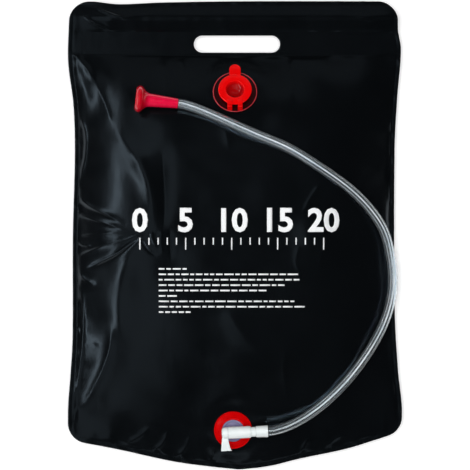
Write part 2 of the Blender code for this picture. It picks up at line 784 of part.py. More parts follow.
def make_seat(frame, looks):
    """Grey bush that centres the tap's stem in the red base."""
    hole = STEM_RADIUS + SEAT_GAP
    low = SOCKET_FLOOR + SEAT_GAP
    lip = SEAT_LIP_WIDTH / 2
    profile = [
        (hole, low),
        (SEAT_RADIUS, low),
        (SEAT_RADIUS, low + SEAT_THICKNESS - lip / 2),
        (SEAT_RADIUS - lip / 2, low + SEAT_THICKNESS),
        (SEAT_RADIUS - SEAT_LIP_WIDTH, low + SEAT_THICKNESS),
        (SEAT_RADIUS - SEAT_LIP_WIDTH - lip, low + SEAT_THICKNESS - lip),
        (hole + lip, low + SEAT_THICKNESS - lip),
        (hole, low + SEAT_THICKNESS),
    ]
    finish_object("outlet_seat", turned(profile), looks["seat"], frame)

    seal_inner, seal_outer = hole, BASE_BORE_RADIUS - SEAT_GAP
    half = (seal_outer - seal_inner) / 2
    centre = (seal_inner + half, -SEAL_DEPTH)
    seal = [(r, centre[1] + (z - centre[1]) * SEAL_HEIGHT / (2 * half)) for r, z in arc(centre, half, 0, 315, 7)]
    finish_object("stem_seal", turned(seal, SMALL_STEPS), looks["rubber"], frame)


def tap_frame():
    """Origin on the tap's pipe above the stem, X along the pipe towards the hose."""
    lift = Matrix.Translation((0.0, 0.0, TAP_AXIS_HEIGHT))
    return OUTLET.frame() @ Matrix.Rotation(TAP_TURN, 4, "Z") @ lift


def make_tap_body(frame, looks):
    """Pipe with a grooved neck and hose barb, on the stem that plugs into the outlet, bored right through."""
    barb_end = COLLAR_LEFT + COLLAR_LENGTH - SEAT_GAP
    profile = [
        (0.0, -PIPE_LEFT),
        (PIPE_RADIUS - TAP_EDGE_EASE, -PIPE_LEFT),
        (PIPE_RADIUS, -PIPE_LEFT + TAP_EDGE_EASE),
        (PIPE_RADIUS, PIPE_RIGHT - TAP_EDGE_EASE),
        (PIPE_RADIUS - TAP_EDGE_EASE, PIPE_RIGHT),
        (PIPE_NECK_RADIUS, PIPE_RIGHT),
        (PIPE_NECK_RADIUS, PIPE_RIGHT + PIPE_NECK_LENGTH),
        (BARB_RADIUS, PIPE_RIGHT + PIPE_NECK_LENGTH),
        (BARB_RADIUS, barb_end),
        (0.0, barb_end),
    ]
    body = finish_object("tap_body", turn_to_x(turned(profile)), looks["white"], frame)

    base = -TAP_AXIS_HEIGHT - STEM_DEPTH
    stem = turned([(0.0, base), (STEM_RADIUS, base), (STEM_RADIUS, 0.0), (0.0, 0.0)], SMALL_STEPS)
    chamber = [
        (0.0, -PIPE_LEFT - OVERRUN),
        (CHAMBER_RADIUS, -PIPE_LEFT - OVERRUN),
        (CHAMBER_RADIUS, CHAMBER_DEPTH),
        (BARB_BORE_RADIUS, CHAMBER_DEPTH),
        (BARB_BORE_RADIUS, barb_end + OVERRUN),
        (0.0, barb_end + OVERRUN),
    ]
    bore = [(0.0, base - OVERRUN), (STEM_BORE_RADIUS, base - OVERRUN), (STEM_BORE_RADIUS, 0.0), (0.0, 0.0)]
    combine(body, helper("stem_shape", stem, frame), "UNION")
    combine(body, helper("chamber_cut", turn_to_x(turned(chamber, SMALL_STEPS)), frame), "DIFFERENCE")
    combine(body, helper("stem_bore_cut", turned(bore, SMALL_STEPS), frame), "DIFFERENCE")


def lever_head():
    """Left and right ends of the lever's round head along the pipe's axis."""
    right = -PIPE_LEFT - SEAT_GAP
    return right - LEVER_HEAD_LENGTH, right


def lever_outline():
    """The fan seen from the front: straight on its outer side, curving out to the tip on the pipe's side."""
    left, right = lever_head()
    outer = left + TAP_EDGE_EASE
    tip_middle = (left + right) / 2 + LEVER_TIP_SHIFT
    tip_left, tip_right = tip_middle - LEVER_TIP_WIDTH / 2, tip_middle + LEVER_TIP_WIDTH / 2
    start = -PIPE_RADIUS - SEAT_GAP
    curve = []
    for i in range(ARC_STEPS + 1):
        share = i / ARC_STEPS
        x = tip_right + (right - tip_right) * share**LEVER_CURVE_SHARE
        curve.append((x, -LEVER_REACH + (start + LEVER_REACH) * share))
    return [(outer, 0.0), (outer, start * LEVER_NECK_SHARE), (tip_left, -LEVER_REACH), *curve, (right, 0.0)]


def inset_outline(outline, inset, keep_above):
    """The outline moved inwards by the inset and cut off where it comes near the head."""
    middle_x = sum(x for x, _ in outline) / len(outline)
    points = []
    for x, y in outline:
        shift = inset if x < middle_x else -inset
        points.append((x + shift, min(max(y, -LEVER_REACH + inset), keep_above)))
    return points


def make_lever(frame, looks):
    """Hollow cock with a side port, its round head and the fan-shaped lever, turning about the pipe's axis."""
    radius = CHAMBER_RADIUS - COCK_CLEARANCE
    inner_end = CHAMBER_DEPTH - SEAT_GAP
    left, right = lever_head()
    dome = LEVER_HEAD_LENGTH / 2
    profile = [
        (0.0, left),
        *arc((LEVER_HEAD_RADIUS - dome, left + dome), dome, -90, 0),
        (LEVER_HEAD_RADIUS, right),
        (radius, right),
        (radius, inner_end),
        (COCK_BORE_RADIUS, inner_end),
        (COCK_BORE_RADIUS, right + COCK_END_WALL),
        (0.0, right + COCK_END_WALL),
    ]
    lever = finish_object("tap_lever", turn_to_x(turned(profile, SMALL_STEPS)), looks["white"], frame)

    port = turned(
        [(0.0, 0.0), (COCK_BORE_RADIUS, 0.0), (COCK_BORE_RADIUS, radius + OVERRUN), (0.0, radius + OVERRUN)],
        SMALL_STEPS,
    )
    sideways = Matrix.Rotation(math.radians(-90), 3, "X")
    bmesh.ops.rotate(port, verts=port.verts, cent=(0, 0, 0), matrix=sideways)

    outline = lever_outline()
    half = LEVER_THICKNESS / 2
    panel = inset_outline(outline, LEVER_RIM, -LEVER_HEAD_RADIUS - LEVER_RIM)
    combine(lever, helper("lever_shape", prism(outline, -half, half), frame), "UNION")
    combine(lever, helper("lever_panel_cut", prism(panel, LEVER_WEB / 2, half + OVERRUN), frame), "DIFFERENCE")
    combine(lever, helper("cock_port_cut", port, frame), "DIFFERENCE")


def make_collar(frame, looks):
    inner = BARB_RADIUS + COLLAR_CLEARANCE
    end = COLLAR_LEFT + COLLAR_LENGTH
    slim = COLLAR_RADIUS - COLLAR_TAPER
    ease = COLLAR_TAPER
    profile = [
        (inner, COLLAR_LEFT),
        (slim - ease, COLLAR_LEFT),
        (slim, COLLAR_LEFT + ease),
        (COLLAR_RADIUS, end - ease),
        (COLLAR_RADIUS - ease, end),
        (inner, end),
    ]
    finish_object("hose_collar", turn_to_x(turned(profile)), looks["white"], frame)


def smooth_route(points, spacing):
    """Even steps on a smooth curve through the route's points, whose first and last stretch are straight."""
    knots = [Vector(p) for p in points]
    fine = []
    for a, b, c, d in zip(knots, knots[1:], knots[2:], knots[3:]):
        for i in range(ROUTE_STEPS):
            t = i / ROUTE_STEPS
            bend = (2 * a - 5 * b + 4 * c - d) * t * t + (3 * b - a - 3 * c + d) * t**3
            fine.append(b + ((c - a) * t + bend) / 2)
    fine.append(knots[-2])
    travelled = [0.0]
    for start, end in zip(fine, fine[1:]):
        travelled.append(travelled[-1] + (end - start).length)
    count = round(travelled[-1] / spacing)
    route, index = [knots[0]], 0
    for step in range(count + 1):
        goal = travelled[-1] * step / count
        while index < len(fine) - 2 and travelled[index + 1] < goal:
            index += 1
        share = (goal - travelled[index]) / (travelled[index + 1] - travelled[index])
        route.append(fine[index].lerp(fine[index + 1], share))
    route.append(knots[-1])
    ends = (knots[1] - knots[0]).length + (knots[-1] - knots[-2]).length
    return route, travelled[-1] + ends


def make_hose(looks):
    route, length = smooth_route(HOSE_ROUTE, 4 * HOSE_RADIUS)
    curve = bpy.data.curves.new("hose", "CURVE")
    curve.dimensions = "3D"
    curve.bevel_depth = HOSE_RADIUS
    curve.bevel_resolution = 3
    curve.use_fill_caps = True
    spline = curve.splines.new("POLY")
    spline.points.add(len(route) - 1)
    for point, place in zip(spline.points, route):
        point.co = (*place, 1.0)
    curve.materials.append(looks["hose"])
    obj = bpy.data.objects.new("hose", curve)
    bpy.context.scene.collection.objects.link(obj)
    print(f"hose length {length:.4f} m")


def head_axis():
    """The head's two ends: where the hose joins it, and the middle of its face, both carried by the film."""
    x, y = HEAD_TAIL_PLACE
    face_x, face_y = x + HEAD_LENGTH * math.cos(HEAD_TURN), y + HEAD_LENGTH * math.sin(HEAD_TURN)
    tail_height = front_inner(x, y) + FILM_THICKNESS + HEAD_TAIL_RADIUS + HEAD_TAIL_LIFT
    face_height = front_inner(face_x, face_y) + FILM_THICKNESS + HEAD_RIM_RADIUS + HEAD_FACE_LIFT
    return Vector((x, y, tail_height)), Vector((face_x, face_y, face_height))


def head_frame():
    """Origin at the hose's end, Z towards the spray face."""
    tail, face = head_axis()
    turn = (face - tail).to_track_quat("Z", "Y").to_matrix().to_4x4()
    return Matrix.Translation(tail) @ turn


def make_shower_head(frame, looks):
    """Trumpet body with a bell mouth, and the perforated rose that sits in it."""
    low = SEAT_GAP
    face = HEAD_LENGTH
    rim_low = face - HEAD_RIM_THICKNESS
    flare = rim_low - HEAD_FLARE_LENGTH
    rim = HEAD_RIM_THICKNESS / 2
    spread = HEAD_RIM_RADIUS - HEAD_GRIP_RADIUS
    rose_low = face - ROSE_RECESS - ROSE_THICKNESS
    mouth = ROSE_RADIUS + SEAT_GAP
    bell_low = rose_low - BELL_DEPTH
    throat_up, throat_out = BELL_THROAT_SHARES
    profile = [
        (HEAD_BORE_RADIUS, low),
        (HEAD_TAIL_RADIUS, low),
        (HEAD_GRIP_RADIUS, flare),
        *((HEAD_GRIP_RADIUS + out * spread, flare + up * HEAD_FLARE_LENGTH) for up, out in HEAD_FLARE_SHARES),
        (HEAD_RIM_RADIUS - rim, rim_low),
        *arc((HEAD_RIM_RADIUS - rim, rim_low + rim), rim, -60, 90),
        (mouth, face),
        (mouth, rose_low - SEAT_GAP),
        (mouth - ROSE_LEDGE, rose_low - SEAT_GAP),
        (HEAD_BORE_RADIUS + throat_out * spread, bell_low + throat_up * BELL_DEPTH),
        (HEAD_BORE_RADIUS, bell_low),
    ]
    finish_object("head_body", turned(profile), looks["head"], frame)

    top = face - ROSE_RECESS
    holes = []
    for count, share in ROSE_RINGS:
        for x, y in circle((0.0, 0.0), share * ROSE_RADIUS, count):
            holes.append(circle((x, y), ROSE_HOLE_RADIUS, ROSE_HOLE_STEPS))
    flat = flat_triangles(circle((0.0, 0.0), ROSE_RADIUS, ROUND_STEPS), holes, [])

    def crowned(x, y):
        return top + ROSE_CROWN * (1 - (x * x + y * y) / ROSE_RADIUS**2)

    rose = plate(*flat, lambda x, y: rose_low, crowned)
    finish_object("head_rose", rose, looks["head"], frame)


def main():
    clear_scene()
    looks = materials()
    make_sheets(looks)
    make_handle_tube(looks)
    filler = frame_object("filler_frame", FILLER.frame())
    make_filler_base(filler, looks)
    make_filler_lid(filler, looks)
    make_hinge_straps(filler, looks)
    outlet = frame_object("outlet_frame", OUTLET.frame())
    make_outlet_base(outlet, looks)
    make_seat(outlet, looks)
    tap = frame_object("tap_frame", tap_frame())
    make_tap_body(tap, looks)
    make_lever(tap, looks)
    make_collar(tap, looks)
    make_hose(looks)
    head = frame_object("head_frame", head_frame())
    make_shower_head(head, looks)


main()
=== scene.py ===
"""The looks of the camp shower bag: film with folds and welds, moulded fittings, clear hose and shower head.

Metres, +Z up. The bag lies on its back, +Y towards its top, +X to the right.
"""

import math
import random

import bmesh
import bpy
import numpy as np
from mathutils import Matrix, Vector
from mathutils.geometry import delaunay_2d_cdt


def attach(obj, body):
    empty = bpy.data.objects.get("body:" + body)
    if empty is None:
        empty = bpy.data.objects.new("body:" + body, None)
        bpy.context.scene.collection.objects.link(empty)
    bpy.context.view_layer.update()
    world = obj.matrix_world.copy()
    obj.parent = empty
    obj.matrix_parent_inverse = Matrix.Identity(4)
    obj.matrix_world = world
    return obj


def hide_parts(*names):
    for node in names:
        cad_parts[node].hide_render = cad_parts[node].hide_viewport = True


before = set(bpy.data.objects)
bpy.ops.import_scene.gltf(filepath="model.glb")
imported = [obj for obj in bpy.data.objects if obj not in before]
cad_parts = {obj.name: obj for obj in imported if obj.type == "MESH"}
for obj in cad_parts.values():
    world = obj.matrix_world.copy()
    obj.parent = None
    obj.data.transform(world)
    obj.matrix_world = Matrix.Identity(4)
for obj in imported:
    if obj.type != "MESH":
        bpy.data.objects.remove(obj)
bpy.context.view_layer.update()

# Camera: straight above the bag, with the photograph's scale at the height of the weld
CAMERA_PLACE = (0.0, 0.0003, 2.508)
CAMERA_ANGLE = math.radians(13.30)
CAMERA_CLIP = (0.05, 50.0)
CAMERA_RISE = 2.5
PIXEL = 0.00124
PHOTO_MIDDLE = (235.05, 235.25)
# The place on the raised film that a pixel shows is neared in this many rounds
SIGHT_ROUNDS = 3

# Lamps: degrees round the bag and above it, distance, size, brightness, and whether gloss shows it
LAMPS = (
    ("left_strip", 180, 36.5, 2.4, (5.0, 0.24), 5.5, True),
    ("left_high", 180, 68, 2.4, (3.0, 1.1), 0.45, True),
    ("front_strip", -90, 30, 2.4, (3.0, 0.2), 1.0, True),
    ("top_wall", 90, 26, 2.4, (3.0, 1.0), 0.16, True),
    ("overhead", 0, 90, 2.8, (2.5, 2.5), 4.0, False),
)
WHITE = (1.0, 1.0, 1.0, 1.0)
WORLD_STRENGTH = 0.02
FLOOR_SIZE = 4.0
FLOOR_DROP = 0.0002
FLOOR_COLOR = (0.86, 0.86, 0.86, 1.0)
FLOOR_ROUGHNESS = 0.9
FLOOR_GLOW = 0.3

# Surfaces: the noise that varies them, as waves per metre and detail
FILM_TINT = (14, 4)
FILM_PATCHES = (40, 3)
FLOW_MARKS = (120, 4)
MOULDED_PATCHES = (420, 3)
HOSE_FLOW = (60, 3)
HOSE_HIGHLIGHT_CLOUDS = (28, 2)
INK_MOTTLE = (900, 3)
# Bumps: waves per metre, detail, stretch, strength and height
FILM_BUMPS = (
    (55, 3, (1.0, 0.45, 1.0), 0.35, 0.0006),
    (260, 2, None, 0.12, 0.0002),
    (1900, 1, None, 0.10, 0.00005),
)
MOULDED_BUMPS = ((700, 2, None, 0.10, 0.0001),)
HOSE_BUMPS = ((140, 1, None, 0.02, 0.0001),)
INK_BUMPS = ((1900, 1, None, 0.10, 0.00005),)
# Gloss and colours
ROUGHNESS_SPREAD = (-0.04, 0.05)
COAT_ROUGHNESS = 0.08
FILM_COLORS = ((0.0019, 0.0024, 0.0029), (0.0026, 0.0032, 0.0039))
FILM_SPECULAR = 0.32
FILM_SPECULAR_TINT = (0.64, 0.83, 1.0, 1.0)
HOSE_CLEAR = ((0.82, 0.91, 0.96), (0.90, 0.96, 1.0))
# Colours of the hose's painted highlights, and the noise range over which they change
HOSE_HIGHLIGHT_COLORS = ((0.56, 0.66, 0.73), (0.86, 0.93, 0.98))
HOSE_HIGHLIGHT_RANGE = (0.35, 0.65)
HOSE_ROUGHNESS = (0.04, 0.08)
# How much light passes through the hose, from none to full painted highlight
HOSE_TRANSMISSION = (1.0, 0.1)
HOSE_IOR = 1.45
INK_COLORS = ((0.84, 0.86, 0.87), (0.95, 0.96, 0.97))
INK_ROUGHNESS = 0.5

# Bag: outline, film and the slopes of its chamber
BAG_WIDTH = 0.414
BAG_HEIGHT = 0.580
FILM_THICKNESS = 0.0005
WELD_GAP = 0.0003
BORDER_WIDTH = 0.005
CORNER_RADIUS = 0.025
BOTTOM_DROP = 0.047
TOP_DIP = 0.0035
FRONT_RISE = 0.046
SIDE_SHOULDER = 0.110
BOTTOM_SHOULDER = 0.300
BACK_SHOULDER = 0.050
LEFT_EDGE_SHARES = (
    (0.0, 0.985), (0.093, 1.0), (0.14, 0.997), (0.22, 0.968), (0.32, 0.959),
    (0.5, 0.971), (0.72, 0.973), (0.8, 0.986), (0.87, 1.0), (1.0, 1.0),
)
RIGHT_EDGE_SHARES = (
    (0.0, 0.975), (0.06, 0.976), (0.104, 0.994), (0.21, 0.971), (0.32, 0.956),
    (0.66, 0.957), (0.79, 0.977), (0.87, 1.0), (1.0, 1.0),
)
BOTTOM_LIFT_SHARES = (
    (-1.0, 0.77), (-0.71, 0.53), (-0.35, 0.19), (0.0, 0.0), (0.05, 0.0),
    (0.21, 0.087), (0.39, 0.28), (0.66, 0.53), (0.84, 0.77), (1.0, 1.0),
)
TOP_DIP_SHARES = ((-1.0, 0.0), (-0.86, 0.0), (-0.7, 1.0), (-0.45, 0.45), (0.0, 0.0), (1.0, 0.0))

# Header with the handle tube's sleeve and the hand slot
TUBE_RADIUS = 0.007
TUBE_LENGTH = 0.310
TUBE_OFFSET = 0.010
TUBE_CLEARANCE = 0.0005
SLEEVE_TOP_WELD = 0.004
SLEEVE_DEPTH = 0.0385
SLEEVE_END_MARGIN = 0.006
SLEEVE_MOUTH_SHARE = 0.5
SLOT_LENGTH = 0.107
SLOT_WIDTH = 0.0212
SLOT_DEPTH = 0.0530
SLOT_OFFSET = 0.0024

# Weld under the header, with a second groove above it. The solid model's weld lies a little lower.
HEADER_DEPTH = 0.0645
WELD_SAG = 0.0025
WELD_BAND = 0.0037
SOLID_WELD_DEPTH = 0.0695
SOLID_TOP_SHOULDER = 0.120

# Gap between pieces that touch, and the flat film under each fitting
SEAT_GAP = 0.0003
PATCH_MARGIN = 0.0008
PATCH_BLEND = 0.021
PATCH_EASE = 0.75
FILM_HOLE_CLEARANCE = 0.0005

# Filler: flange with its neck, lid with its plug and tab, and two straps
FILLER_PLACE = (0.0, 0.1749)
FILLER_LEAN = math.radians(22)
FLANGE_RADIUS = 0.02725
FLANGE_THICKNESS = 0.0013
FLANGE_BEAD = 0.0007
NECK_RADIUS = 0.0172
NECK_BORE_RADIUS = 0.0150
NECK_HEIGHT = 0.0073
NECK_DEPTH = 0.0060
LID_RADIUS = 0.0205
LID_THICKNESS = 0.0022
PLUG_CLEARANCE = 0.0004
PLUG_TAPER = 0.0014
PLUG_DEPTH = 0.0066
RECESS_RADIUS = 0.0111
# Depth below the lid's top over which painted shade darkens the bowl in the plug
RECESS_SHADE_DEPTH = 0.0020
PLUG_FLOOR = 0.0014
BOWL_RADIUS = 0.0132
BOWL_EDGE_DEGREES = -48
TAB_WIDTH = 0.0140
TAB_REACH = 0.0135
STRAP_WIDTH = 0.0060
STRAP_SPACING = 0.0127
STRAP_THICKNESS = 0.0017
STRAP_SPLAY = 0.0022
HINGE_REACH = 0.0226
HINGE_BEAD_RADIUS = 0.0012
LUG_RISE = 0.0008
LUG_LENGTH = 0.0075
TAB_INSET = 0.0003
TAB_EASE = 0.0005
LUG_EASE = 0.0004
STRAP_EASE = 0.0003
STRAP_ROUND_DEGREES = (-50, 230)
# Painted highlight on the flange's bead: the degrees over which a paler red skin covers it, and the skin's
# thickness
RIM_HIGHLIGHT_DEGREES = (35, 145)
RIM_HIGHLIGHT_SKIN = 0.00008

# Outlet: base with its boss and spigot, and the bush round the tap's stem
OUTLET_PLACE = (-0.0024, -0.2400)
OUTLET_LEAN = math.radians(8)
BASE_RADIUS = 0.0235
BASE_THICKNESS = 0.0014
BASE_BEAD = 0.0008
SOCKET_RADIUS = 0.0160
SOCKET_HEIGHT = 0.0056
SOCKET_FLOOR = 0.0024
SEAT_RADIUS = 0.0138
SEAT_THICKNESS = 0.0030
SEAT_LIP_WIDTH = 0.0022
BASE_BORE_RADIUS = 0.0080
BASE_SPIGOT_RADIUS = 0.0100
BASE_SPIGOT_DEPTH = 0.0080

# Tap: pipe on its stem, lever and collar
TAP_AXIS_HEIGHT = 0.0150
TAP_TURN = math.radians(2.5)
PIPE_RADIUS = 0.00735
PIPE_LEFT = 0.0060
PIPE_RIGHT = 0.0218
PIPE_NECK_RADIUS = 0.00595
PIPE_NECK_LENGTH = 0.0061
PIPE_EASE = 0.0007
BARB_RADIUS = 0.0036
STEM_RADIUS = 0.0056
STEM_DEPTH = 0.0058
LEVER_HEAD_RADIUS = 0.0070
LEVER_HEAD_LENGTH = 0.0076
LEVER_THICKNESS = 0.0034
LEVER_REACH = 0.0225
LEVER_TIP_WIDTH = 0.0138
LEVER_TIP_SHIFT = 0.0012
LEVER_SIDE_INSET = 0.0007
LEVER_CURVE_BEND = 0.5
LEVER_EASE = 0.0006
COLLAR_LENGTH = 0.0147
COLLAR_RADIUS = 0.0073
COLLAR_TAPER = 0.0005
COLLAR_CLEARANCE = 0.0004

# Hose and shower head
HOSE_RADIUS = 0.00575
HOSE_BORE_RADIUS = 0.0041
HEAD_TAIL_PLACE = (-0.0690, 0.1604)
HEAD_TURN = math.radians(173.4)
HEAD_TAIL_LIFT = 0.0035
HEAD_FACE_LIFT = 0.0018
HEAD_LENGTH = 0.0525
HEAD_RIM_RADIUS = 0.0165
HEAD_TAIL_RADIUS = 0.0061
HEAD_GRIP_RADIUS = 0.0083
HEAD_BORE_RADIUS = 0.0038
HEAD_RIM_THICKNESS = 0.0096
HEAD_FLARE_LENGTH = 0.0074
HEAD_FLARE_BEND = 1.7
HEAD_TAIL_EASE = 0.0010
HEAD_RIM_DEGREES = -50
HEAD_CONE_LENGTH = 0.004
ROSE_RADIUS = 0.0137
ROSE_THICKNESS = 0.0016
ROSE_RECESS = 0.0012

# The hose's route, as in the solid model
HOSE_ROUTE = (
    (0.0408, -0.2402, 0.0366),
    (0.0528, -0.2397, 0.0366),
    (0.0668, -0.2345, 0.0348),
    (0.0905, -0.2215, 0.0315),
    (0.1187, -0.1986, 0.0328),
    (0.1445, -0.1710, 0.0326),
    (0.1693, -0.1362, 0.0286),
    (0.1849, -0.1070, 0.0220),
    (0.1933, -0.0800, 0.0172),
    (0.1963, -0.0553, 0.0157),
    (0.1928, -0.0275, 0.0172),
    (0.1846, 0.0052, 0.0238),
    (0.1653, 0.0328, 0.0372),
    (0.1388, 0.0582, 0.0502),
    (0.1019, 0.0834, 0.0602),
    (0.0637, 0.1071, 0.0615),
    (0.0303, 0.1205, 0.0605),
    (-0.0098, 0.1385, 0.0580),
    (-0.0424, 0.1530, 0.0533),
    (-0.0571, 0.1590, 0.0523),
    (-0.0690, 0.1604, 0.0530),
)

# Mesh resolution
FRONT_SPACING = 0.0024
DETAIL_REACH = 0.007
BACK_SPACING = 0.0045
OUTLINE_SPACING = 0.0030
HOSE_SPACING = 0.0030
ARC_STEPS = 8
BEAD_STEPS = 4
BEND_STEPS = 5
ROUND_STEPS = 10
BOWL_STEPS = 14
STRAP_STEPS = 16
TAB_STEPS = 24
HEAD_STEPS = 12
LEVER_STEPS = 12
TURN_STEPS = 96
HOLE_STEPS = 64
HOSE_SIDES = 72
FOLD_STEPS = 5
ROUTE_STEPS = 32
ROUTE_SMOOTHING = 40
ROUTE_HELD = 3
EASE_STEPS = 3
EASED_ANGLE = math.radians(30)
SHARP_ANGLE = math.radians(38)
TUBE_SHARP_ANGLE = math.radians(60)
MERGE = 0.000001
# Further than anything lies from anything on the bag
FAR = 1.0
# Rings of points inside the edge of each film, and rows of points along the welds, as distances from them
FRONT_RINGS = (0.0012, 0.0026, 0.0040, 0.0050, 0.0060, 0.0074)
BACK_RINGS = (0.0025, 0.0050)
HEADER_ROWS = (-0.0010, 0.0, 0.0010, 0.0028, 0.0037, 0.0046)
SLEEVE_ROWS = (-0.0010, 0.0, 0.0010)
BACK_ROWS = (0.0,)

# Painted highlight lines along the hose, where it is milky and less see-through: degrees from its top towards
# the outside of its curve, width and strength
HIGHLIGHT_LINES = ((71, 5.5, 0.8), (36, 4.5, 0.35), (3, 8.5, 1.0), (-36, 9.0, 0.36), (-74, 5.0, 0.35))
HIGHLIGHT_LINE_TURN = 27.0
# Places along the hose as shares of its length, and how strong the painted highlight lines and the painted
# glow in its bore are there
HIGHLIGHT_LINE_STRENGTH = ((0.0, 0.10), (0.35, 1.0))
BORE_PAINTED_GLOW = ((0.0, 0.65, 1.0), (0.02, 0.04, 0.16))

# Welds: width and depth of their grooves, and the deepest hollow
HEADER_GROOVE = (0.0011, 0.0008)
BAND_GROOVE = (0.0009, 0.0004)
SLEEVE_GROOVE = (0.0011, 0.0007)
EDGE_GROOVE = (0.0010, 0.0005)
DEEPEST_HOLLOW = 0.0004
# Puckers along the left, right, bottom and header weld: reach and rise
FRONT_PUCKERS = ((0.011, 0.0006), (0.011, 0.0007), (0.010, 0.0006), (0.016, 0.0006))
BACK_PUCKERS = ((0.011, 0.0010), (0.011, 0.0010), (0.010, 0.0010), (0.012, 0.0010))
# Swells and ripples elsewhere, the wave along the edge, and how far in from the edges wrinkles grow
SWELL_RISE = 0.0010
SWELL_LEANS = (0.25, 0.2)
SLEEVE_RIPPLE_RISE = 0.00015
EDGE_WAVE_RISE = 0.0005
EDGE_WAVE_REACH = 0.012
BORDER_EASE = 0.006
HEADER_EASE = 0.012

# Folds: sharpness at two widths in millimetres, reach in widths, and the shares over which the ends fade
SHARPNESS_BY_WIDTH = ((5.0, 12.0), (1.3, 2.0))
FOLD_REACH = 4.5
FOLD_FADE_SHARES = (0.25, 0.35)
# The first folds of the table lie on the header
HEADER_FOLDS = 3

# Folds of the front film: path in the photograph's pixels, width on either side and rise in millimetres.
# The first width is on the left of someone who walks along the path. A fold with a negative rise is a hollow.
FOLDS = (
    # Creases at both ends of the sleeve
    (((93, 6), (107, 12.7), (122, 17.6), (137, 18)), 2.4, 1.6, 1.9),
    (((81, 15), (93, 22), (104, 27), (113, 30.5)), 2.2, 1.6, 1.8),
    (((352, 14), (362, 17), (376, 22)), 2.5, 2.0, 0.7),
    # Ridge from the upper left corner of the chamber, which splits in two
    (((64, 44), (72, 51), (80, 60), (88, 70), (96, 85)), 4.0, 5.5, 3.1),
    (((74, 60), (80, 72), (84, 86), (88, 102), (90, 118)), 9.0, 9.0, 1.3),
    (((84, 64), (91, 75), (98, 88), (104, 101), (109, 115), (113, 130)), 4.0, 8.0, 1.3),
    (((109, 118), (121, 137), (132, 152), (142, 168), (149, 185), (152, 203), (154, 218)), 9.0, 11.0, 1.6),
    (((132, 150), (142, 168), (149, 185), (153, 205), (154, 226)), 9.0, 10.0, 2.4),
    # Hollow, then the soft fold right of it
    (((161, 134), (162, 155), (163, 175), (164, 195), (164, 216), (162, 240)), 12.0, 13.0, -1.8),
    (((162, 150), (163, 168), (164, 190), (164, 212), (162, 236)), 5.5, 4.5, -2.2),
    # Pucker along the left edge
    (((75, 112), (82, 121), (86, 136), (85, 158), (80, 178), (76, 196)), 2.8, 2.4, 1.3),
    # Fan of creases from the left edge
    (((76, 196), (91, 207), (106, 214), (126, 225)), 2.4, 2.4, 2.3),
    (((76, 214), (96, 220), (114, 226), (130, 232)), 2.0, 2.1, 1.8),
    (((78, 236), (92, 235), (108, 233), (128, 232)), 1.8, 1.9, 1.5),
    (((76, 243), (84, 245), (93, 246)), 1.8, 1.8, 1.5),
    (((78, 256), (92, 251), (110, 244), (130, 236)), 2.6, 2.6, 2.4),
    (((84, 270), (98, 263), (116, 254), (134, 241), (146, 232)), 2.8, 2.4, -2.8),
    (((98, 249), (114, 242), (130, 236), (144, 232)), 1.8, 1.8, -1.5),
    # Long soft ridge down the left, which narrows towards the bottom corner
    (((141, 240), (129, 254), (121, 269), (117, 290), (117, 318), (116, 350)), 12.0, 22.0, 2.6),
    (((112, 322), (110, 347), (104, 367), (95, 386), (85, 403), (74, 419)), 6.0, 5.5, 2.2),
    (((81, 283), (83, 300), (83, 330), (82, 350), (79, 374), (76, 394), (73, 408)), 2.2, 2.0, 1.0),
    (((82, 346), (90, 344), (100, 346)), 3.2, 3.2, 0.6),
    (((78, 272), (86, 280), (97, 284)), 2.6, 3.0, 1.4),
    (((78, 406), (75, 415), (74, 425)), 2.6, 2.2, 1.3),
    # Crumples where the fan of folds meets the printing
    (((141, 238), (146, 248), (154, 254), (160, 253)), 2.0, 2.0, -1.3),
    (((151, 230), (153, 241), (159, 249)), 2.0, 2.0, 1.4),
    (((162, 230), (161, 242), (163, 256)), 2.2, 2.2, 1.2),
    (((170, 228), (170, 244), (171, 262)), 2.8, 2.2, -1.2),
    # Soft upright folds below the header
    (((293, 50), (292, 74), (294, 108)), 3.5, 5.0, 1.5),
    (((163, 56), (166, 84), (166, 112)), 4.0, 6.0, 1.5),
    (((228, 112), (226, 130), (231, 154)), 5.0, 6.0, 1.1),
    (((181, 58), (185, 74)), 2.5, 3.5, 0.8),
    # Creases on the right
    (((322, 182), (312, 196), (302, 214)), 3.0, 3.0, 1.3),
    (((318, 208), (324, 232), (320, 262), (325, 282)), 3.8, 3.4, 1.1),
    (((300, 244), (296, 262), (303, 280)), 3.4, 3.4, 0.8),
    # Long soft folds above the outlet
    (((222, 306), (240, 330), (262, 356), (277, 380)), 9.0, 12.0, 1.6),
    (((288, 344), (284, 366), (287, 404)), 5.0, 7.0, 1.4),
    (((246, 300), (250, 330), (262, 372)), 40.0, 50.0, 1.6),
    # Puckers along the bottom weld
    (((126, 444), (140, 436), (150, 426)), 3.4, 3.4, 1.0),
    (((152, 452), (163, 443), (168, 430)), 3.0, 3.4, 1.1),
    (((176, 458), (186, 447), (189, 434)), 3.0, 3.4, 0.9),
    (((208, 464), (214, 455), (216, 448)), 2.6, 2.8, 0.8),
    (((262, 465), (260, 456), (263, 446)), 2.6, 2.8, 0.8),
    (((300, 456), (304, 446), (312, 436)), 3.0, 3.2, 1.1),
    (((326, 449), (333, 440), (346, 433)), 3.0, 3.4, 1.0),
    (((380, 432), (384, 424), (381, 410)), 3.0, 3.4, 0.8),
)

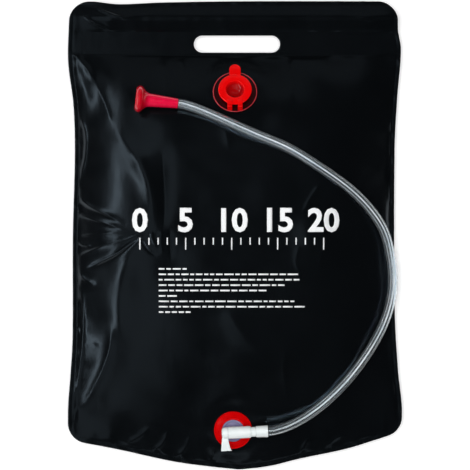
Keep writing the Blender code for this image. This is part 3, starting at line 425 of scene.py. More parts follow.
# Print on the front: a scale of plain numbers with its ticks, and nine rows of dashes
SCALE_NUMBERS = ("0", "5", "10", "15", "20")
SCALE_START = -0.1160
SCALE_STEP = 0.0560
TICKS_PER_NUMBER = 5
NUMBER_BASE = 0.0035
NUMBER_HEIGHT = 0.0300
NUMBER_WEIGHT = 0.03
NUMBER_STEPS = 3
TICK_TOP = -0.0030
TICK_LENGTH = 0.0085
LONG_TICK_LENGTH = 0.0145
TICK_WIDTH = 0.0016
DASH_LEFT = -0.0930
DASH_TOP = -0.0400
DASH_PITCH = 0.0066
DASH_HEIGHT = 0.0020
DASH_GAP = 0.0020
DASH_LENGTHS = (0.0045, 0.0130)
DASH_ROW_ENDS = (-0.0560, 0.0800, 0.0810, 0.0640, 0.0390, -0.0680, 0.0730, 0.0880, -0.0540)
DASH_SEED = 7
INK_THICKNESS = 0.00008
INK_SKIN_SHARE = 1.5

# Values worked out from those above
HALF_WIDTH = BAG_WIDTH / 2
TOP_Y = BAG_HEIGHT / 2
SLEEVE_RADIUS = TUBE_RADIUS + TUBE_CLEARANCE
BACK_DEPTH = SLEEVE_RADIUS
EDGE_Z = BACK_DEPTH + FILM_THICKNESS + WELD_GAP / 2
# Heights of the films' outer faces at the weld
FRONT_Z = EDGE_Z + WELD_GAP / 2 + FILM_THICKNESS
BACK_Z = EDGE_Z - WELD_GAP / 2 - FILM_THICKNESS
SLEEVE_HALF = (SLEEVE_DEPTH - SLEEVE_TOP_WELD) / 2
TUBE_Y = TOP_Y - SLEEVE_TOP_WELD - SLEEVE_HALF
SLEEVE_LINE = TOP_Y - SLEEVE_DEPTH
COLLAR_LEFT = PIPE_RIGHT + PIPE_NECK_LENGTH + SEAT_GAP
# Width of the slope below the header that leaves the film at the filler as high as the solid model's
FILLER_TO_WELD = TOP_Y - HEADER_DEPTH - WELD_SAG - FILLER_PLACE[1]
TOP_SHOULDER = SOLID_TOP_SHOULDER * FILLER_TO_WELD / (TOP_Y - SOLID_WELD_DEPTH - FILLER_PLACE[1])
FLANGE_TOP = FLANGE_THICKNESS + SEAT_GAP
LID_BOTTOM = NECK_HEIGHT + SEAT_GAP
HINGE_PLACE = (0.0, -HINGE_REACH, LID_BOTTOM + LID_THICKNESS / 2)
LEVER_RIGHT = -PIPE_LEFT - SEAT_GAP
LEVER_LEFT = LEVER_RIGHT - LEVER_HEAD_LENGTH
TO_X = Matrix.Rotation(math.radians(90), 4, "Y")


def smooth_through(points, at):
    """A smooth curve through the points, held at its end values outside them."""
    places, values = (np.array(column) for column in zip(*points))
    at = np.clip(np.asarray(at, float), places[0], places[-1])
    slopes = np.empty(len(places))
    slopes[1:-1] = (values[2:] - values[:-2]) / (places[2:] - places[:-2])
    slopes[0] = (values[1] - values[0]) / (places[1] - places[0])
    slopes[-1] = (values[-1] - values[-2]) / (places[-1] - places[-2])
    index = np.clip(np.searchsorted(places, at, side="right") - 1, 0, len(places) - 2)
    width = places[index + 1] - places[index]
    t = (at - places[index]) / width
    stay = (1 + 2 * t) * (1 - t) ** 2 * values[index] + t * t * (3 - 2 * t) * values[index + 1]
    lean = t * (1 - t) ** 2 * slopes[index] + t * t * (t - 1) * slopes[index + 1]
    return stay + width * lean


def smooth_step(share):
    share = np.clip(share, 0.0, 1.0)
    return share * share * (3 - 2 * share)


def left_edge(y):
    return -HALF_WIDTH * smooth_through(LEFT_EDGE_SHARES, (TOP_Y - y) / BAG_HEIGHT)


def right_edge(y):
    return HALF_WIDTH * smooth_through(RIGHT_EDGE_SHARES, (TOP_Y - y) / BAG_HEIGHT)


def bottom_edge(x):
    return -TOP_Y + BOTTOM_DROP * smooth_through(BOTTOM_LIFT_SHARES, x / HALF_WIDTH)


def top_edge(x):
    return TOP_Y - TOP_DIP * smooth_through(TOP_DIP_SHARES, x / HALF_WIDTH)


def header_line(x):
    return TOP_Y - HEADER_DEPTH - WELD_SAG * (1 - (x / HALF_WIDTH) ** 2)


def sleeve_line(x):
    return SLEEVE_LINE + 0 * x


def rise_share(distance, shoulder):
    share = np.clip(distance / shoulder, 0.0, 1.0)
    return 1 - (1 - share) ** 2


def edge_distances(x, y):
    """Distances from the weld's inner border on the left, right and bottom, and from the header's weld."""
    return (
        x - left_edge(y) - BORDER_WIDTH,
        right_edge(y) - x - BORDER_WIDTH,
        y - bottom_edge(x) - BORDER_WIDTH,
        header_line(x) - y,
    )


def chamber_share(x, y, top, side, bottom):
    left, right, low, high = edge_distances(x, y)
    sides = rise_share(left, side) * rise_share(right, side)
    return sides * rise_share(high, top) * rise_share(low, bottom)


def free_front_rise(x, y):
    return FRONT_RISE * chamber_share(x, y, TOP_SHOULDER, SIDE_SHOULDER, BOTTOM_SHOULDER)


def sleeve_rise(x, y):
    """Half the thickness of the sleeve: film round the tube, then straight to both welds."""
    away = np.abs(y - TUBE_Y)
    touch = SLEEVE_RADIUS**2 / SLEEVE_HALF
    top = math.sqrt(SLEEVE_RADIUS**2 - touch**2)
    round_part = np.sqrt(np.maximum(SLEEVE_RADIUS**2 - away**2, 0.0))
    straight = top * (SLEEVE_HALF - away) / (SLEEVE_HALF - touch)
    rise = np.where(away <= touch, round_part, np.maximum(straight, 0.0))
    tube_end = TUBE_LENGTH / 2 + SLEEVE_END_MARGIN
    past = (np.abs(x - TUBE_OFFSET) - tube_end) / (HALF_WIDTH - tube_end)
    return rise * (1 - (1 - SLEEVE_MOUTH_SHARE) * smooth_step(past))


class Fitting:
    """A rigid fitting on the front film, which lies flat and tilted under it."""

    def __init__(self, place, lean, radius, hole_radius):
        self.x, self.y = place
        self.lean = lean
        self.flat = radius + PATCH_MARGIN
        self.hole_radius = hole_radius
        self.rise = float(free_front_rise(self.x, self.y))

    def distance(self, x, y):
        return np.hypot(x - self.x, (y - self.y) / math.cos(self.lean))

    def film_rise(self, x, y, rise):
        past = np.clip((self.distance(x, y) - self.flat) / PATCH_BLEND, 0.0, 1.0)
        share = 1 - smooth_step(past**PATCH_EASE)
        return rise + share * (self.rise - math.tan(self.lean) * (y - self.y) - rise)

    def hole(self):
        """Outline of the film's hole under the fitting."""
        turns = [2 * math.pi * i / HOLE_STEPS for i in range(HOLE_STEPS)]
        up = self.hole_radius * math.cos(self.lean)
        return [(self.x + self.hole_radius * math.cos(turn), self.y + up * math.sin(turn)) for turn in turns]

    def frame(self):
        place = Matrix.Translation((self.x, self.y, FRONT_Z + self.rise))
        return place @ Matrix.Rotation(-self.lean, 4, "X")


FILLER = Fitting(FILLER_PLACE, FILLER_LEAN, FLANGE_RADIUS, NECK_RADIUS + FILM_HOLE_CLEARANCE)
OUTLET = Fitting(OUTLET_PLACE, -OUTLET_LEAN, BASE_RADIUS, BASE_SPIGOT_RADIUS + FILM_HOLE_CLEARANCE)


def plain_front_rise(x, y):
    """Rise of the front film above the weld, without folds."""
    rise = free_front_rise(x, y)
    for fitting in (FILLER, OUTLET):
        rise = fitting.film_rise(x, y, rise)
    return np.where(y > SLEEVE_LINE, sleeve_rise(x, y), np.where(y > header_line(x), 0.0, rise))


def rise_at(x, y):
    return float(plain_front_rise(np.array(x), np.array(y)))


def from_photo(pixel):
    """The place on the film that a pixel of the photograph shows."""
    across, up = (pixel[0] - PHOTO_MIDDLE[0]) * PIXEL, (PHOTO_MIDDLE[1] - pixel[1]) * PIXEL
    x, y = across, up
    for _ in range(SIGHT_ROUNDS):
        nearer = 1 - rise_at(x, y) / CAMERA_RISE
        x, y = across * nearer, up * nearer
    return x, y


def curve_through(knots, steps):
    """Points on a smooth curve through the knots, from the second to the last but one."""
    line = []
    for a, b, c, d in zip(knots, knots[1:], knots[2:], knots[3:]):
        for i in range(steps):
            t = i / steps
            bend = (2 * a - 5 * b + 4 * c - d) * t * t + (3 * b - a - 3 * c + d) * t**3
            line.append(b + ((c - a) * t + bend) / 2)
    return [*line, knots[-2]]


def fold_line(path):
    """A smooth line on the film through the pixels of a fold's path."""
    knots = [np.array(from_photo(pixel)) for pixel in path]
    return np.array(curve_through([knots[0], *knots, knots[-1]], FOLD_STEPS))


FOLD_LINES = [fold_line(path) for path, *_ in FOLDS]


def in_box(x, y, line, reach):
    (low_x, low_y), (high_x, high_y) = line.min(axis=0) - reach, line.max(axis=0) + reach
    return (x > low_x) & (x < high_x) & (y > low_y) & (y < high_y)


def fold_rise(x, y, index):
    """Height that one fold adds, highest along its path and fading towards both of its ends."""
    _, left_width, right_width, rise = FOLDS[index]
    line = FOLD_LINES[index]
    near = in_box(x, y, line, FOLD_REACH * max(left_width, right_width) / 1000)
    added = np.zeros(x.shape)
    x, y = x[near], y[near]
    starts, sides = line[:-1], np.diff(line, axis=0)
    lengths = np.hypot(*sides.T)
    along_starts = np.concatenate([[0.0], np.cumsum(lengths)[:-1]])
    nearest = np.full(x.shape, FAR)
    signed = np.zeros(x.shape)
    along = np.zeros(x.shape)
    for start, side, length, before in zip(starts, sides, lengths, along_starts):
        share = np.clip(((x - start[0]) * side[0] + (y - start[1]) * side[1]) / length**2, 0.0, 1.0)
        off_x, off_y = x - start[0] - side[0] * share, y - start[1] - side[1] * share
        distance = np.hypot(off_x, off_y)
        closer = distance < nearest
        nearest = np.where(closer, distance, nearest)
        signed = np.where(closer, side[0] * off_y - side[1] * off_x, signed)
        along = np.where(closer, before + share * length, along)
    share = along / lengths.sum()
    fade = smooth_step(share / FOLD_FADE_SHARES[0]) * smooth_step((1 - share) / FOLD_FADE_SHARES[1])
    width = np.where(signed > 0, left_width, right_width) / 1000
    sharpness = np.interp(min(left_width, right_width), *SHARPNESS_BY_WIDTH)
    added[near] = rise / 1000 * fade * np.exp(-((nearest / width) ** sharpness))
    return added


def close_to_fold(points):
    """Which of the points lie so close to a fold that the mesh has to be fine there."""
    close = np.zeros(len(points), bool)
    for line in FOLD_LINES:
        box = in_box(points[:, 0], points[:, 1], line, DETAIL_REACH)
        away = np.full(box.sum(), FAR)
        for spot in line:
            away = np.minimum(away, np.hypot(*(points[box] - spot).T))
        close[box] |= away < DETAIL_REACH
    return close


def ripple(seed, count, shortest, longest):
    """A repeatable wavy function of one length, between about -1 and 1."""
    chance = random.Random(seed)
    waves = []
    for _ in range(count):
        rate = 2 * math.pi / chance.uniform(shortest, longest)
        waves.append((rate, chance.uniform(0, 2 * math.pi)))

    def value(at):
        return sum(np.sin(rate * at + turn) for rate, turn in waves) / math.sqrt(count)

    return value


LEFT_PUCKERS = ripple(3, 5, 0.016, 0.055)
RIGHT_PUCKERS = ripple(11, 5, 0.016, 0.055)
BOTTOM_PUCKERS = ripple(19, 5, 0.014, 0.045)
TOP_PUCKERS = ripple(27, 5, 0.020, 0.080)
SLEEVE_RIPPLE = ripple(31, 5, 0.015, 0.070)
SWELL_ACROSS = ripple(41, 4, 0.060, 0.170)
SWELL_UP = ripple(47, 4, 0.080, 0.240)

def pucker(distance, wave, reach, rise):
    """Short waves square to a weld, strongest a little way in from it."""
    share = np.clip(distance, 0.0, None) / reach
    return rise * wave * share * np.exp(1 - share) * np.exp(-share)


def puckers(distances, waves, sizes):
    """Puckers along the left, right, bottom and header weld, one after another."""
    return [pucker(distance, wave, *size) for distance, wave, size in zip(distances, waves, sizes)]


def front_wrinkles(x, y):
    """What wrinkles, folds and swells add to the front film's height."""
    distances = edge_distances(x, y)
    near_fitting = np.minimum(FILLER.distance(x, y) - FILLER.flat, OUTLET.distance(x, y) - OUTLET.flat)
    calm = smooth_step(near_fitting / PATCH_BLEND)
    border = smooth_step(np.minimum.reduce(distances) / BORDER_EASE)
    swell = SWELL_RISE * SWELL_ACROSS(x + SWELL_LEANS[0] * y) * SWELL_UP(y - SWELL_LEANS[1] * x)
    waves = (LEFT_PUCKERS(y), RIGHT_PUCKERS(y), BOTTOM_PUCKERS(x), TOP_PUCKERS(x))
    folds = [fold_rise(x, y, index) for index in range(len(FOLDS))]
    total = sum([*puckers(distances, waves, FRONT_PUCKERS), *folds], swell)
    inner_edge = smooth_step(np.minimum(x - left_edge(y), right_edge(y) - x) / HEADER_EASE)
    header = sum(folds[:HEADER_FOLDS]) + SLEEVE_RIPPLE_RISE * SLEEVE_RIPPLE(x) * (y > SLEEVE_LINE)
    return np.where(y > header_line(x), header * inner_edge, total * calm * border)


def groove(distance, width, depth):
    return -depth * np.exp(-((distance / width) ** 2))


def front_height(x, y):
    """Height of the front film's outer face."""
    x, y = np.asarray(x, float), np.asarray(y, float)
    above_weld = y - header_line(x)
    rise = plain_front_rise(x, y) + front_wrinkles(x, y)
    rise = rise + groove(above_weld, *HEADER_GROOVE) + groove(y - SLEEVE_LINE, *SLEEVE_GROOVE)
    rise = rise + groove(above_weld - WELD_BAND, *BAND_GROOVE)
    left, right, low, _ = edge_distances(x, y)
    edge = np.minimum.reduce([left, right, low, top_edge(x) - y - BORDER_WIDTH])
    rise = rise + groove(edge, *EDGE_GROOVE)
    fade = smooth_step(1 - (edge + BORDER_WIDTH) / EDGE_WAVE_REACH)
    wave = EDGE_WAVE_RISE * LEFT_PUCKERS(y + x) * fade
    return FRONT_Z + np.maximum(rise, -DEEPEST_HOLLOW) + np.maximum(wave, 0.0)


def back_height(x, y):
    """Height of the back film's outer face."""
    x, y = np.asarray(x, float), np.asarray(y, float)
    depth = BACK_DEPTH * chamber_share(x, y, BACK_SHOULDER, BACK_SHOULDER, BACK_SHOULDER)
    depth = np.where(y > SLEEVE_LINE, sleeve_rise(x, y), np.where(y > header_line(x), 0.0, depth))
    waves = (RIGHT_PUCKERS(y), LEFT_PUCKERS(y), TOP_PUCKERS(x), BOTTOM_PUCKERS(x))
    wrinkles = sum(puckers(edge_distances(x, y), waves, BACK_PUCKERS))
    return np.maximum(BACK_Z - depth + np.where(y < header_line(x), wrinkles, 0.0), 0.0)


def rounded_corner(before, corner, after, radius):
    before, corner, after = Vector(before), Vector(corner), Vector(after)
    side_a, side_b = (before - corner).normalized(), (after - corner).normalized()
    half = side_a.angle(side_b) / 2
    centre = corner + (side_a + side_b).normalized() * radius / math.sin(half)
    start = corner + side_a * radius / math.tan(half) - centre
    end = corner + side_b * radius / math.tan(half) - centre
    turn = start.angle_signed(end)
    steps = 2 * ARC_STEPS
    spokes = [start.copy() for _ in range(steps + 1)]
    for i, spoke in enumerate(spokes):
        spoke.rotate(Matrix.Rotation(-turn * i / steps, 2))
    return [tuple(centre + spoke) for spoke in spokes]


def bag_outline(spacing):
    """The bag's outline, anticlockwise from the bottom left corner."""
    low_left, low_right = float(bottom_edge(-HALF_WIDTH)), float(bottom_edge(HALF_WIDTH))
    top_left, top_right = float(left_edge(TOP_Y)), float(right_edge(TOP_Y))
    across, up = round(BAG_WIDTH / spacing), round(BAG_HEIGHT / spacing)
    bottom = np.linspace(-HALF_WIDTH, HALF_WIDTH, across + 1)[1:-1]
    right = np.linspace(low_right, TOP_Y, up + 1)[1:-1]
    top = np.linspace(top_right, top_left, across + 1)[1:-1]
    left = np.linspace(TOP_Y, low_left, up + 1)[1:-1]
    sides = [
        list(zip(bottom, bottom_edge(bottom))),
        list(zip(right_edge(right), right)),
        list(zip(top, top_edge(top))),
        list(zip(left_edge(left), left)),
    ]
    corners = [(HALF_WIDTH, low_right), (top_right, TOP_Y), (top_left, TOP_Y), (-HALF_WIDTH, low_left)]
    cut = round(CORNER_RADIUS / spacing) + 1
    outline = []
    for index, corner in enumerate(corners):
        side, following = sides[index][cut:-cut], sides[(index + 1) % len(sides)][cut:-cut]
        outline += side
        outline += rounded_corner(side[-1], corner, following[0], CORNER_RADIUS)
    return [(float(x), float(y)) for x, y in outline]


def slot_outline():
    radius = SLOT_WIDTH / 2
    straight = SLOT_LENGTH / 2 - radius
    y = TOP_Y - SLOT_DEPTH
    points = []
    for side, start in ((1, -math.pi / 2), (-1, math.pi / 2)):
        middle = SLOT_OFFSET + side * straight
        for i in range(2 * ARC_STEPS + 1):
            angle = start + math.pi * i / (2 * ARC_STEPS)
            points.append((middle + radius * math.cos(angle), y + radius * math.sin(angle)))
    return points


def within(points, outline):
    """Which of the points lie inside the outline, as an array of True and False."""
    x, y = points[:, 0], points[:, 1]
    odd = np.zeros(len(points), bool)
    for (x0, y0), (x1, y1) in zip(outline, outline[1:] + outline[:1]):
        if y0 != y1:
            odd ^= ((y0 > y) != (y1 > y)) & (x < x0 + (y - y0) * (x1 - x0) / (y1 - y0))
    return odd


def clearance(points, outline):
    """Each point's distance from the outline."""
    best = np.full(len(points), FAR)
    for start, end in zip(outline, outline[1:] + outline[:1]):
        side = np.subtract(end, start)
        off = points - np.array(start)
        share = np.clip(off @ side / (side @ side), 0.0, 1.0)
        best = np.minimum(best, np.hypot(*(off - share[:, None] * side).T))
    return best


def inset_ring(outline, inset):
    points = np.array(outline)
    tangent = np.roll(points, -1, axis=0) - np.roll(points, 1, axis=0)
    normal = np.stack([-tangent[:, 1], tangent[:, 0]], axis=1)
    return points + inset * normal / np.hypot(*normal.T)[:, None]


def clear_of(points, loops, gap):
    """The points that lie no closer to the loops than the gap."""
    for loop in loops:
        near = np.flatnonzero(in_box(points[:, 0], points[:, 1], np.array(loop), gap))
        points = np.delete(points, near[clearance(points[near], loop) <= gap], axis=0)
    return points


def flat_mesh(outline, holes, spacing, rings, rows, prints=(), fine=None):
    """Points and faces of a flat sheet: a grid, rings inside its edge and extra rows along its welds.

    Where fine holds, the grid is twice as dense. The edges of the prints are edges of the mesh too.
    """
    step = spacing / 2 if fine else spacing
    row_gap, hole_gap, print_gap = spacing / 4, spacing / 3, spacing / 6
    xs = np.arange(-HALF_WIDTH, HALF_WIDTH, step)
    ys = np.arange(-TOP_Y, TOP_Y, step)
    grid = np.stack(np.meshgrid(xs, ys), axis=-1)
    if fine:
        coarse = np.zeros(grid.shape[:2], bool)
        coarse[::2, ::2] = True
        grid = grid.reshape(-1, 2)
        grid = grid[coarse.ravel() | fine(grid)]
    grid = grid.reshape(-1, 2)
    grid = grid[within(grid, outline)]
    grid = grid[clearance(grid, outline) > max(rings) + step / 2]
    xs = np.arange(-HALF_WIDTH, HALF_WIDTH, spacing)
    extra = [np.stack([xs, row(xs)], axis=1) for row in rows]
    for line in extra:
        away = np.abs(grid[:, 1] - np.interp(grid[:, 0], line[:, 0], line[:, 1]))
        grid = grid[away > row_gap]
    extra = [line[within(line, outline)] for line in extra]
    extra = [line[clearance(line, outline) > max(rings) + row_gap] for line in extra]
    edge = [inset_ring(outline, inset) for inset in rings]
    points = np.concatenate([grid, *extra, *edge])
    for hole in holes:
        points = points[~within(points, hole)]
    points = clear_of(points, holes, hole_gap)
    points = clear_of(points, prints, print_gap)
    corners, edges = [], []
    for loop in (outline, *holes, *prints):
        first = len(corners)
        corners += loop
        edges += [(first + i, first + (i + 1) % len(loop)) for i in range(len(loop))]
    spots = [Vector(p) for p in corners] + [Vector(p) for p in points.tolist()]
    found = delaunay_2d_cdt(spots, edges, [], 0, MERGE)
    flat = np.array([tuple(p) for p in found[0]])
    faces = np.array(found[2])
    middles = flat[faces].mean(axis=1)
    keep = within(middles, outline)
    for hole in holes:
        keep &= ~within(middles, hole)
    faces = faces[keep]
    corner = flat[faces]
    turned_over = np.cross(corner[:, 1] - corner[:, 0], corner[:, 2] - corner[:, 0]) < 0
    faces[turned_over] = faces[turned_over][:, ::-1]
    return flat, faces


def in_scene(name, data):
    """A new object, linked into the scene."""
    obj = bpy.data.objects.new(name, data)
    bpy.context.scene.collection.objects.link(obj)
    return obj


def belongs(obj, body, node):
    """What a piece rides on, the node that it stands for, if there is one."""
    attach(obj, body)
    if node:
        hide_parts(node)


def mesh_object(name, verts, faces, material):
    mesh = bpy.data.meshes.new(name)
    mesh.from_pydata(verts, [], faces)
    mesh.materials.append(material)
    mesh.shade_smooth()
    return in_scene(name, mesh)


def sheet_object(name, flat, faces, outer, inward, material):
    """A film whose outer face follows a height function, with its thickness on the inward side."""
    used, index = np.unique(faces, return_inverse=True)
    faces = index.reshape(faces.shape)
    flat = flat[used]
    height = outer(flat[:, 0], flat[:, 1])
    high = np.column_stack([flat, height])
    low = np.column_stack([flat, height + inward])
    count = len(flat)
    if inward > 0:
        high, low = low, high
    edges = {}
    for a, b, c in faces.tolist():
        for edge in ((a, b), (b, c), (c, a)):
            edges[edge] = True
    rim = [(a, b) for a, b in edges if (b, a) not in edges]
    all_faces = faces.tolist()
    all_faces += [(c + count, b + count, a + count) for a, b, c in faces.tolist()]
    all_faces += [(a + count, b + count, b, a) for a, b in rim]
    return mesh_object(name, np.concatenate([high, low]).tolist(), all_faces, material)


def bar(left, right, low, high):
    return [(left, low), (right, low), (right, high), (left, high)]


def number_loops(text, middle, base, height):
    """Outlines of a number in Blender's own font, as closed loops of points."""
    curve = bpy.data.curves.new("number", "FONT")
    curve.body = text
    curve.align_x = "CENTER"
    curve.resolution_u = NUMBER_STEPS
    curve.offset = NUMBER_WEIGHT
    holder = bpy.data.objects.new("number", curve)
    mesh = holder.to_mesh()
    count = {}
    for face in mesh.polygons:
        for edge in face.edge_keys:
            count[edge] = count.get(edge, 0) + 1
    ahead = {}
    for a, b in (edge for edge, faces in count.items() if faces == 1):
        ahead.setdefault(a, []).append(b)
        ahead.setdefault(b, []).append(a)
    low = min(v.co.y for v in mesh.vertices)
    scale = height / (max(v.co.y for v in mesh.vertices) - low)
    loops = []
    while ahead:
        spot = next(iter(ahead))
        loop = []
        while spot is not None:
            loop.append(spot)
            neighbours = ahead.pop(spot)
            spot = next((other for other in neighbours if other in ahead), None)
        places = [mesh.vertices[i].co for i in loop]
        loops.append([(middle + co.x * scale, base + (co.y - low) * scale) for co in places])
    holder.to_mesh_clear()
    bpy.data.objects.remove(holder)
    bpy.data.curves.remove(curve)
    return loops


def print_loops():
    """Outlines of the print: numbers, ticks and rows of dashes."""
    loops = []
    for index, number in enumerate(SCALE_NUMBERS):
        loops += number_loops(number, SCALE_START + SCALE_STEP * index, NUMBER_BASE, NUMBER_HEIGHT)
    for tick in range(TICKS_PER_NUMBER * (len(SCALE_NUMBERS) - 1) + 1):
        middle = SCALE_START + SCALE_STEP * tick / TICKS_PER_NUMBER
        length = TICK_LENGTH if tick % TICKS_PER_NUMBER else LONG_TICK_LENGTH
        loops.append(bar(middle - TICK_WIDTH / 2, middle + TICK_WIDTH / 2, TICK_TOP - length, TICK_TOP))
    chance = random.Random(DASH_SEED)
    for row, row_end in enumerate(DASH_ROW_ENDS):
        high = DASH_TOP - DASH_PITCH * row
        left = DASH_LEFT
        while left < row_end - DASH_LENGTHS[0]:
            right = min(left + chance.uniform(*DASH_LENGTHS), row_end)
            loops.append(bar(left, right, high - DASH_HEIGHT, high))
            left = right + DASH_GAP
    return loops


def make_print(flat, faces, loops, looks):
    """White ink on the film, made of the film's own faces inside the print's outlines."""
    middles = flat[faces].mean(axis=1)
    inked = np.zeros(len(faces), bool)
    for loop in loops:
        near = np.flatnonzero(in_box(middles[:, 0], middles[:, 1], np.array(loop), 0.0))
        inked[near] ^= within(middles[near], loop)

    def ink_height(x, y):
        return front_height(x, y) + INK_THICKNESS

    skin = -INK_SKIN_SHARE * INK_THICKNESS
    ink = sheet_object("front_print", flat, faces[inked], ink_height, skin, looks["ink"])
    belongs(ink, "bag", None)


def rows_beside(line, offsets):
    """The rows that run beside a line across the bag, as functions of x."""
    return [lambda x, off=off: line(x) + off for off in offsets]


def make_film(looks):
    """Front film with its print, and back film."""
    outline, slot = bag_outline(OUTLINE_SPACING), slot_outline()
    rows = rows_beside(header_line, HEADER_ROWS) + rows_beside(sleeve_line, SLEEVE_ROWS)
    holes = [slot, FILLER.hole(), OUTLET.hole()]
    loops = print_loops()
    flat, faces = flat_mesh(outline, holes, FRONT_SPACING, FRONT_RINGS, rows, loops, close_to_fold)
    front = sheet_object("front_film", flat, faces, front_height, -FILM_THICKNESS, looks["film"])
    make_print(flat, faces, loops, looks)
    rows = rows_beside(header_line, BACK_ROWS) + rows_beside(sleeve_line, BACK_ROWS)
    flat, faces = flat_mesh(outline, [slot], BACK_SPACING, BACK_RINGS, rows)
    back = sheet_object("back_film", flat, faces, back_height, FILM_THICKNESS, looks["film_back"])
    belongs(front, "bag", "front_sheet")
    belongs(back, "bag", "back_sheet")


def new_material(name):
    """A new material, its node tree and its shader."""
    material = bpy.data.materials.new(name)
    material.use_nodes = True
    return material, material.node_tree, material.node_tree.nodes["Principled BSDF"]


def set_inputs(node, values):
    for name, value in values.items():
        node.inputs[name].default_value = value


def noise(tree, scale, detail, stretch=None):
    """A noise texture in object space, in waves per metre."""
    source = tree.nodes.new("ShaderNodeTexCoord").outputs["Object"]
    texture = tree.nodes.new("ShaderNodeTexNoise")
    set_inputs(texture, {"Scale": scale, "Detail": detail})
    if stretch:
        mapping = tree.nodes.new("ShaderNodeMapping")
        set_inputs(mapping, {"Scale": stretch})
        tree.links.new(source, mapping.inputs["Vector"])
        source = mapping.outputs["Vector"]
    tree.links.new(source, texture.inputs["Vector"])
    return texture.outputs["Fac"]


def ranged(tree, value, low, high, start=0.3, end=0.7):
    spread = tree.nodes.new("ShaderNodeMapRange")
    set_inputs(spread, {"From Min": start, "From Max": end, "To Min": low, "To Max": high})
    tree.links.new(value, spread.inputs["Value"])
    return spread.outputs["Result"]


def tinted(tree, value, first, second, start=0.3, end=0.7):
    ramp = tree.nodes.new("ShaderNodeValToRGB")
    for element, position, color in zip(ramp.color_ramp.elements, (start, end), (first, second)):
        element.position = position
        element.color = (*color, 1.0)
    tree.links.new(value, ramp.inputs["Fac"])
    return ramp.outputs["Color"]


def patchy(tree, shader, patches, roughness):
    """Gloss that varies a little from patch to patch."""
    low, high = (roughness + spread for spread in ROUGHNESS_SPREAD)
    tree.links.new(ranged(tree, noise(tree, *patches), low, high), shader.inputs["Roughness"])


def bumped(tree, shader, layers):
    """Bumps from several layers of noise, one on top of another."""
    normal = None
    for scale, detail, stretch, strength, height in layers:
        bump = tree.nodes.new("ShaderNodeBump")
        set_inputs(bump, {"Strength": strength, "Distance": height})
        tree.links.new(noise(tree, scale, detail, stretch), bump.inputs["Height"])
        if normal:
            tree.links.new(normal, bump.inputs["Normal"])
        normal = bump.outputs["Normal"]
    tree.links.new(normal, shader.inputs["Normal"])


def film_look(name, roughness):
    material, tree, shader = new_material(name)
    tree.links.new(tinted(tree, noise(tree, *FILM_TINT), *FILM_COLORS), shader.inputs["Base Color"])
    patchy(tree, shader, FILM_PATCHES, roughness)
    set_inputs(shader, {"Specular IOR Level": FILM_SPECULAR, "Specular Tint": FILM_SPECULAR_TINT})
    bumped(tree, shader, FILM_BUMPS)
    return material


def mark(obj, name, values):
    """Keeps a number on every vertex, for the material to read."""
    obj.data.attributes.new(name, "FLOAT", "POINT").data.foreach_set("value", values)


def marked(tree, name):
    reader = tree.nodes.new("ShaderNodeAttribute")
    reader.attribute_name = name
    return reader.outputs["Fac"]


def mixed(tree, share, first, second):
    """Colour between two sockets. A mix node of colours has them as its inputs 6 and 7, and its output 2."""
    mix = tree.nodes.new("ShaderNodeMix")
    mix.data_type = "RGBA"
    tree.links.new(share, mix.inputs["Factor"])
    tree.links.new(first, mix.inputs[6])
    tree.links.new(second, mix.inputs[7])
    return mix.outputs[2]


def moulded_look(name, first, second, roughness, coat=0.0, specular=0.35, deep_red_and_shade=None):
    """Moulded plastic with faint flow marks, and with deeper colours where its mesh says so: painted shade in
    the lid's bowl, and a deeper red towards the head's flare.
    """
    material, tree, shader = new_material(name)
    flow = noise(tree, *FLOW_MARKS)
    color = tinted(tree, flow, first, second)
    if deep_red_and_shade:
        color = mixed(tree, marked(tree, "deep_red_and_shade"), color, tinted(tree, flow, *deep_red_and_shade))
    tree.links.new(color, shader.inputs["Base Color"])
    patchy(tree, shader, MOULDED_PATCHES, roughness)
    set_inputs(shader, {"Specular IOR Level": specular})
    set_inputs(shader, {"Coat Weight": coat, "Coat Roughness": COAT_ROUGHNESS})
    bumped(tree, shader, MOULDED_BUMPS)
    return material


def hose_look():
    """Clear tube with painted highlights, milky and less see-through where its vertices say so."""
    material, tree, shader = new_material("clear_hose_pvc")
    flow = noise(tree, *HOSE_FLOW)
    clear = tinted(tree, flow, *HOSE_CLEAR)
    highlight_tint = tinted(tree, noise(tree, *HOSE_HIGHLIGHT_CLOUDS), *HOSE_HIGHLIGHT_COLORS, *HOSE_HIGHLIGHT_RANGE)
    painted_highlight = marked(tree, "painted_highlight")
    tree.links.new(mixed(tree, painted_highlight, clear, highlight_tint), shader.inputs["Base Color"])
    tree.links.new(ranged(tree, flow, *HOSE_ROUGHNESS), shader.inputs["Roughness"])
    tree.links.new(ranged(tree, painted_highlight, *HOSE_TRANSMISSION, 0.0, 1.0), shader.inputs["Transmission Weight"])
    set_inputs(shader, {"IOR": HOSE_IOR})
    bumped(tree, shader, HOSE_BUMPS)
    return material


def ink_look():
    material, tree, shader = new_material("white_ink")
    tree.links.new(tinted(tree, noise(tree, *INK_MOTTLE), *INK_COLORS), shader.inputs["Base Color"])
    set_inputs(shader, {"Roughness": INK_ROUGHNESS})
    bumped(tree, shader, INK_BUMPS)
    return material


